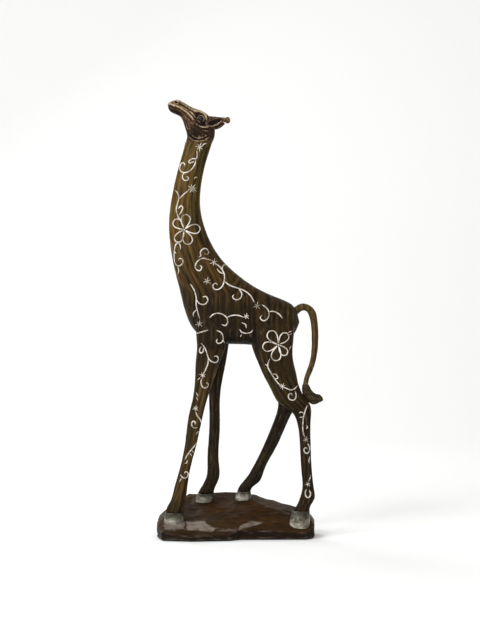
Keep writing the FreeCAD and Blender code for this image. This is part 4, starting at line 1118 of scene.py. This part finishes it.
hindLines = [
    [(70.5, 280), (76, 282)],
    [(72, 276.8), (76, 278.6)],
    [(75.3, 262), (73.3, 259.5), (73, 256)],
    [(46, 244.5), (44, 240), (43, 234.5), (45.5, 228.5), (49.5, 222), (53.5, 216), (57.5, 211), (61, 208.3)],
    [(39.5, 237.3), (42.7, 234.8)],
    [(49.5, 223.5), (54, 223.5), (57, 218.5), (53, 217.5)],
    [(65.3, 206), (69, 204), (74.5, 202.2), (80.3, 204.3), (83.5, 208)],
    [(80.3, 200.3), (81.7, 195), (80.5, 190), (76.7, 188.2), (72.3, 190), (71, 194), (73, 197.2), (76, 196.7),
     (76, 193.8)],
    [(97, 181), (94.5, 175), (92, 167), (91, 158.5), (90.8, 149), (92, 141.5), (94, 138)],
    [(85.5, 170.7), (88.5, 172.3), (91.7, 170.5)],
    [(86.3, 165), (88.8, 165), (91, 166.2)],
    [(95, 154), (97.3, 152), (95.3, 149)],
    [(97, 130), (99.8, 124.5), (99.8, 119.5), (97, 116), (93.3, 117.5), (92.3, 121.5), (94.7, 124),
     (96.8, 121.7)],
    [(100.7, 111.5), (99, 106), (100, 101.5)],
    [(102, 87), (100, 81), (98, 77.5)],
    [(95.5, 67.5), (93.8, 62), (96, 56.7), (99.6, 56.7), (101.2, 61.5), (99.5, 66.5)],
]
trunkStars = [(-50, 533.5, 6.2, 7), (-59.5, 476.5, 6.8, 8), (-30, 375.5, 5.5, 6), (-39, 350, 5.5, 6),
              (-50, 292, 5.5, 6), (28.5, 316, 5.5, 6), (14, 302, 4.5, 6)]
frontStars = [(-45, 222.3, 4.8, 7), (-54.7, 177, 4.2, 6)]
hindStars = [(63, 207, 4.8, 7), (95, 134.5, 4.2, 6), (97.5, 74.5, 4.0, 6)]
trunkFlowers = [(-70.5, 420.0, [(82, 21), (5, 21.5), (-70, 21), (-125, 19.5), (137, 19.5)])]
hindFlowers = [(57.5, 263.5, [(125, 22), (51, 19.5), (-51, 17.5), (-102, 22), (190, 21.5)])]


def smoothLine(points):
    # even steps along a Catmull-Rom curve through given points
    points = np.array(points, float)
    guides = np.vstack([2 * points[0] - points[1], points, 2 * points[-1] - points[-2]])
    line = []
    for k in range(len(points) - 1):
        a, b, c, d = guides[k:k + 4]
        for t in np.linspace(0, 1, 12, endpoint=False):
            line.append(0.5 * (2 * b + (c - a) * t + (2 * a - 5 * b + 4 * c - d) * t ** 2
                               + (3 * b - a - 3 * c + d) * t ** 3))
    line.append(points[-1])
    line = np.array(line)
    run = np.concatenate([[0], np.cumsum(np.linalg.norm(np.diff(line, axis=0), axis=1))])
    steps = max(int(run[-1] / scrollSettings["pointSpacing"]), 3)
    at = np.linspace(0, run[-1], steps + 1)
    return np.stack([np.interp(at, run, line[:, 0]), np.interp(at, run, line[:, 1])], 1)


def petalLine(x, z, angle, length):
    # the outline of one petal from the flower's middle and back to it
    half = [(0.1, 0.05), (0.35, 0.2), (0.62, 0.29), (0.86, 0.25), (1.0, 0.0)]
    outline = half + [(a, -b) for a, b in half[-2::-1]]
    c, s = math.cos(math.radians(angle)), math.sin(math.radians(angle))
    return [(x + length * (a * c - b * s), z + length * (a * s + b * c)) for a, b in outline]


def strokesOf(lines, stars, flowers, place=None):
    # every stroke as an even line with its thickness along it
    put = place or (lambda spot: spot)
    strokes = []

    def add(points, thickness, taper=0.35):
        line = smoothLine([put(p) for p in points])
        share = np.linspace(0, 1, len(line))
        ends = np.clip(np.minimum(share, 1 - share) * len(line) / 5, 0, 1)
        strokes.append((line, thickness * (taper + (1 - taper) * ends)))

    for points in lines:
        add(points, 1.0)
    for x, z, size, rays in stars:
        for k in range(rays):
            turn = 2 * math.pi * (k + 0.3) / rays
            reach = size * (1.0 if k % 2 else 0.8)
            mid = (x + math.cos(turn) * reach * 0.55, z + math.sin(turn) * reach * 0.55)
            add([(x, z), mid, (x + math.cos(turn) * reach, z + math.sin(turn) * reach)], 0.8, 0.5)
    for x, z, petals in flowers:
        for angle, length in petals:
            add(petalLine(x, z, angle, length), 0.95, 0.6)
        for k in range(5):
            turn = 2 * math.pi * k / 5
            add([(x + math.cos(turn) * 0.9, z + math.sin(turn) * 0.9), (x, z),
                 (x - math.cos(turn) * 0.9, z - math.sin(turn) * 0.9)], 1.15, 0.9)
    return strokes


def slicesOf(limb):
    # the front and back of a carved leg at each height
    co = positionsOf(bpy.data.objects[limb + "_legCarving"].data)
    return profileAlong(co, 2, 0, 3.0)


def toOtherLeg(pair):
    # puts a spot drawn on the near leg at the same share of the far leg's width and height
    near, far = slicesOf(pair + "_left"), slicesOf(pair + "_right")
    top = 300.0
    rise = (top - far[0][0]) / (top - near[0][0])
    fixed, moving = joints[pair] + 12, joints[pair] - 25

    def put(spot):
        x, z = spot
        if z > fixed:
            return spot
        front, back = np.interp(z, near[0], near[1]), np.interp(z, near[0], near[2])
        share = (x - front) / (back - front)
        other = top - (top - z) * rise
        otherFront, otherBack = np.interp(other, far[0], far[1]), np.interp(other, far[0], far[2])
        blend = float(smoothStep(fixed, moving, np.array(z)))
        moved = otherFront + share * (otherBack - otherFront)
        return (x + (moved - x) * blend, z + (other - z) * blend)
    return put


def layStroke(line, thickness, side):
    # drops a flat stroke onto the carving from one side; points that miss it are left out
    spots, normals, widths = [], [], []
    for (x, z), width in zip(line, thickness):
        tree = neckTree if z > joints["neck"] else bodyTree
        start = Vector((x, side * scrollSettings["startAway"], z)) * mm
        hit, normal, _, _ = tree.ray_cast(start, Vector((0, -side, 0)))
        if hit is None or normal.y * side < scrollSettings["leastFacing"]:
            continue
        spots.append(np.array(hit) / mm)
        normals.append(np.array(normal))
        widths.append(width)
    if len(spots) < 3:
        return None
    spots, normals = np.array(spots), np.array(normals)
    for _ in range(2):
        spots[1:-1] = spots[1:-1] * 0.5 + (spots[:-2] + spots[2:]) * 0.25
        normals[1:-1] = normals[1:-1] * 0.5 + (normals[:-2] + normals[2:]) * 0.25
    normals /= np.linalg.norm(normals, axis=1, keepdims=True)
    return spots - normals * scrollSettings["sunk"], np.array(widths)


def lineTree():
    # a geometry tree that turns laid lines into round raised beads of paint
    tree = bpy.data.node_groups.new("raisedLine", "GeometryNodeTree")
    face = tree.interface
    face.new_socket("Geometry", in_out="INPUT", socket_type="NodeSocketGeometry")
    sockets = {}
    for name, kind in (("Bead Radius", "NodeSocketFloat"), ("Ring Points", "NodeSocketInt"),
                       ("Uneven Share", "NodeSocketFloat"), ("Seed", "NodeSocketInt"),
                       ("Finish", "NodeSocketMaterial")):
        sockets[name] = face.new_socket(name, in_out="INPUT", socket_type=kind).identifier
    face.new_socket("Geometry", in_out="OUTPUT", socket_type="NodeSocketGeometry")
    given = addNode(tree, "NodeGroupInput").outputs
    width = addNode(tree, "GeometryNodeInputNamedAttribute", {"Name": "lineWidth"},
                    data_type="FLOAT").outputs[0]
    spot = addNode(tree, "GeometryNodeInputPosition").outputs[0]
    lumps = addNode(tree, "ShaderNodeTexNoise", {
        "Vector": spot, "W": given["Seed"], "Scale": 1 / (4 * mm), "Detail": 2.0},
        noise_dimensions="4D").outputs[0]
    centred = addNode(tree, "ShaderNodeMath", {0: lumps, 1: 0.5}, operation="SUBTRACT").outputs[0]
    swing = addNode(tree, "ShaderNodeMath", {0: centred, 1: given["Uneven Share"]},
                    operation="MULTIPLY").outputs[0]
    factor = addNode(tree, "ShaderNodeMath", {0: swing, 1: 2.0, 2: 1.0}, operation="MULTIPLY_ADD").outputs[0]
    local = addNode(tree, "ShaderNodeMath", {0: width, 1: factor}, operation="MULTIPLY").outputs[0]
    radius = addNode(tree, "ShaderNodeMath", {0: local, 1: given["Bead Radius"]},
                     operation="MULTIPLY").outputs[0]
    curve = addNode(tree, "GeometryNodeMeshToCurve", {"Mesh": given["Geometry"]}).outputs[0]
    ring = addNode(tree, "GeometryNodeCurvePrimitiveCircle", {
        "Resolution": given["Ring Points"], "Radius": 1.0}).outputs[0]
    tube = addNode(tree, "GeometryNodeCurveToMesh", {
        "Curve": curve, "Profile Curve": ring, "Scale": radius, "Fill Caps": True}).outputs[0]
    smooth = addNode(tree, "GeometryNodeSetShadeSmooth", {"Geometry": tube}).outputs[0]
    real = addNode(tree, "GeometryNodeRealizeInstances", {"Geometry": smooth}).outputs[0]
    painted = addNode(tree, "GeometryNodeSetMaterial", {
        "Geometry": real, "Material": given["Finish"]}).outputs[0]
    addNode(tree, "NodeGroupOutput", {0: painted})
    return tree, sockets


beadTree, beadSockets = lineTree()


def addScroll(name, laid, seed, replaced):
    # one piece of beads from laid strokes, through the tree and then made a plain mesh
    verts, edges, widths = [], [], []
    for spots, width in laid:
        first = len(verts)
        verts += [tuple(p * mm) for p in spots]
        edges += [(first + k, first + k + 1) for k in range(len(spots) - 1)]
        widths += list(width)
    mesh = bpy.data.meshes.new(name + "Lines")
    mesh.from_pydata(verts, edges, [])
    setAttribute(mesh, "lineWidth", np.array(widths))
    work = bpy.data.objects.new(name + "Lines", mesh)
    bpy.context.scene.collection.objects.link(work)
    modifier = work.modifiers.new("raisedLine", "NODES")
    modifier.node_group = beadTree
    modifier[beadSockets["Bead Radius"]] = scrollSettings["width"] / 2 * mm
    modifier[beadSockets["Ring Points"]] = scrollSettings["ringPoints"]
    modifier[beadSockets["Uneven Share"]] = scrollSettings["unevenness"]
    modifier[beadSockets["Seed"]] = seed
    modifier[beadSockets["Finish"]] = silver
    view = bpy.context.evaluated_depsgraph_get()
    made = bpy.data.meshes.new_from_object(work.evaluated_get(view))
    bpy.data.objects.remove(work)
    bm = bmesh.new()
    bm.from_mesh(made)
    bmesh.ops.remove_doubles(bm, verts=bm.verts[:], dist=0.005 * mm)
    bmesh.ops.recalc_face_normals(bm, faces=bm.faces[:])
    bm.to_mesh(made)
    bm.free()
    return addPiece(name, made, silver, replaced)


scrollSeeds = {"leg": 5, "neck": 11, "torso": 17}
drawings = {"front": (frontLines, frontStars, []), "hind": (hindLines, hindStars, hindFlowers)}


def layScrolls():
    # the same drawing on both sides, each stroke on the piece where its middle lies
    for side, word in ((-1, "left"), (1, "right")):
        neckLaid, torsoLaid = [], []
        for line, width in strokesOf(trunkLines, trunkStars, trunkFlowers):
            laid = layStroke(line, width, side)
            if laid:
                (neckLaid if line[:, 1].mean() > joints["neck"] else torsoLaid).append(laid)
        for pair, drawing in drawings.items():
            legLaid = []
            for line, width in strokesOf(*drawing, place=toOtherLeg(pair) if side > 0 else None):
                laid = layStroke(line, width, side)
                if laid:
                    (torsoLaid if line[:, 1].mean() > joints[pair] else legLaid).append(laid)
            limb = pair + "_" + word
            addScroll(limb + "_legScroll", legLaid, scrollSeeds["leg"], [limb + "_leg_scroll"])
        addScroll("neckScroll_" + word, neckLaid, scrollSeeds["neck"], ["neck_scroll_" + word])
        addScroll("torsoScroll_" + word, torsoLaid, scrollSeeds["torso"], ["torso_scroll_" + word])


layScrolls()
print("scrollwork laid")


# the dowels, screws, eyes and felt keep their CAD shape

def repaint(name, material):
    mesh = nodes[name].data
    mesh.materials.clear()
    mesh.materials.append(material)


for side in ("left", "right"):
    repaint(side + "_eye", glass)
for limb in limbNames:
    repaint(limb + "_dowel", beech)
    repaint(limb + "_screw", zinc)
repaint("neck_dowel", beech)
repaint("head_dowel", beech)
repaint("felt_pad", wool)


# the stage, light and camera are set in metres
stageSettings = {"floor": "#fbfbfa", "reach": 9.0, "front": -9.0, "backWall": 1.4, "wallTop": 3.5,
                 "bend": 0.7, "bendSteps": 12, "skyStrength": 0.65}
softboxes = {
    "keyLight": {"place": (-1.5, -1.7, 1.7), "aim": (0, 0, 0.32), "size": 1.2, "power": 40},
    "fillLight": {"place": (1.9, -1.6, 0.9), "aim": (0, 0, 0.3), "size": 1.6, "power": 2},
    "rimLight": {"place": (-0.9, 1.1, 1.6), "aim": (0, 0, 0.35), "size": 0.9, "power": 12},
}
cameraSettings = {"place": (0.0055, -1.8, 0.297), "turn": (math.pi / 2, 0, 0), "sensor": 36.0, "lens": 73.5}


def makeStage():
    # a pale sweep in matt paint: floor, a bend and a wall in one sheet
    settings = stageSettings
    reach, wall, bend = settings["reach"], settings["backWall"], settings["bend"]
    outline = [(settings["front"], 0.0), (wall, 0.0)]
    for k in range(1, settings["bendSteps"] + 1):
        turn = math.pi / 2 * k / settings["bendSteps"]
        outline.append((wall + bend * math.sin(turn), bend * (1 - math.cos(turn))))
    outline.append((wall + bend, settings["wallTop"]))
    verts = [(x, y, z) for y, z in outline for x in (-reach, reach)]
    faces = [(2 * k, 2 * k + 1, 2 * k + 3, 2 * k + 2) for k in range(len(outline) - 1)]
    mesh = bpy.data.meshes.new("studioSweep")
    mesh.from_pydata(verts, [], faces)
    shadeSmooth(mesh)
    material, tree = newMaterial("matteSweepPaint")
    shader = addNode(tree, "ShaderNodeBsdfPrincipled", {
        "Base Color": colour(settings["floor"]), "Roughness": 0.9})
    addNode(tree, "ShaderNodeOutputMaterial", {"Surface": shader.outputs["BSDF"]})
    mesh.materials.append(material)
    sweep = bpy.data.objects.new("studioSweep", mesh)
    bpy.context.scene.collection.objects.link(sweep)


def addSoftbox(name, place, aim, size, power):
    data = bpy.data.lights.new(name, "AREA")
    data.shape = "SQUARE"
    data.size = size
    data.energy = power
    lamp = bpy.data.objects.new(name, data)
    bpy.context.scene.collection.objects.link(lamp)
    lamp.location = place
    lamp.rotation_euler = (Vector(aim) - Vector(place)).to_track_quat("-Z", "Y").to_euler()


makeStage()
for name, box in softboxes.items():
    addSoftbox(name, box["place"], box["aim"], box["size"], box["power"])
bpy.context.scene.view_settings.view_transform = "Standard"
world = bpy.data.worlds.new("studioSky")
world.use_nodes = True
sky = world.node_tree.nodes["Background"]
sky.inputs["Color"].default_value = (1.0, 1.0, 1.0, 1.0)
sky.inputs["Strength"].default_value = stageSettings["skyStrength"]
bpy.context.scene.world = world

cameraData = bpy.data.cameras.new("camera")
cameraData.sensor_width = cameraSettings["sensor"]
cameraData.lens = cameraSettings["lens"]
camera = bpy.data.objects.new("camera", cameraData)
bpy.context.scene.collection.objects.link(camera)
camera.location = cameraSettings["place"]
camera.rotation_euler = cameraSettings["turn"]
bpy.context.scene.camera = camera

print("camera and light set")
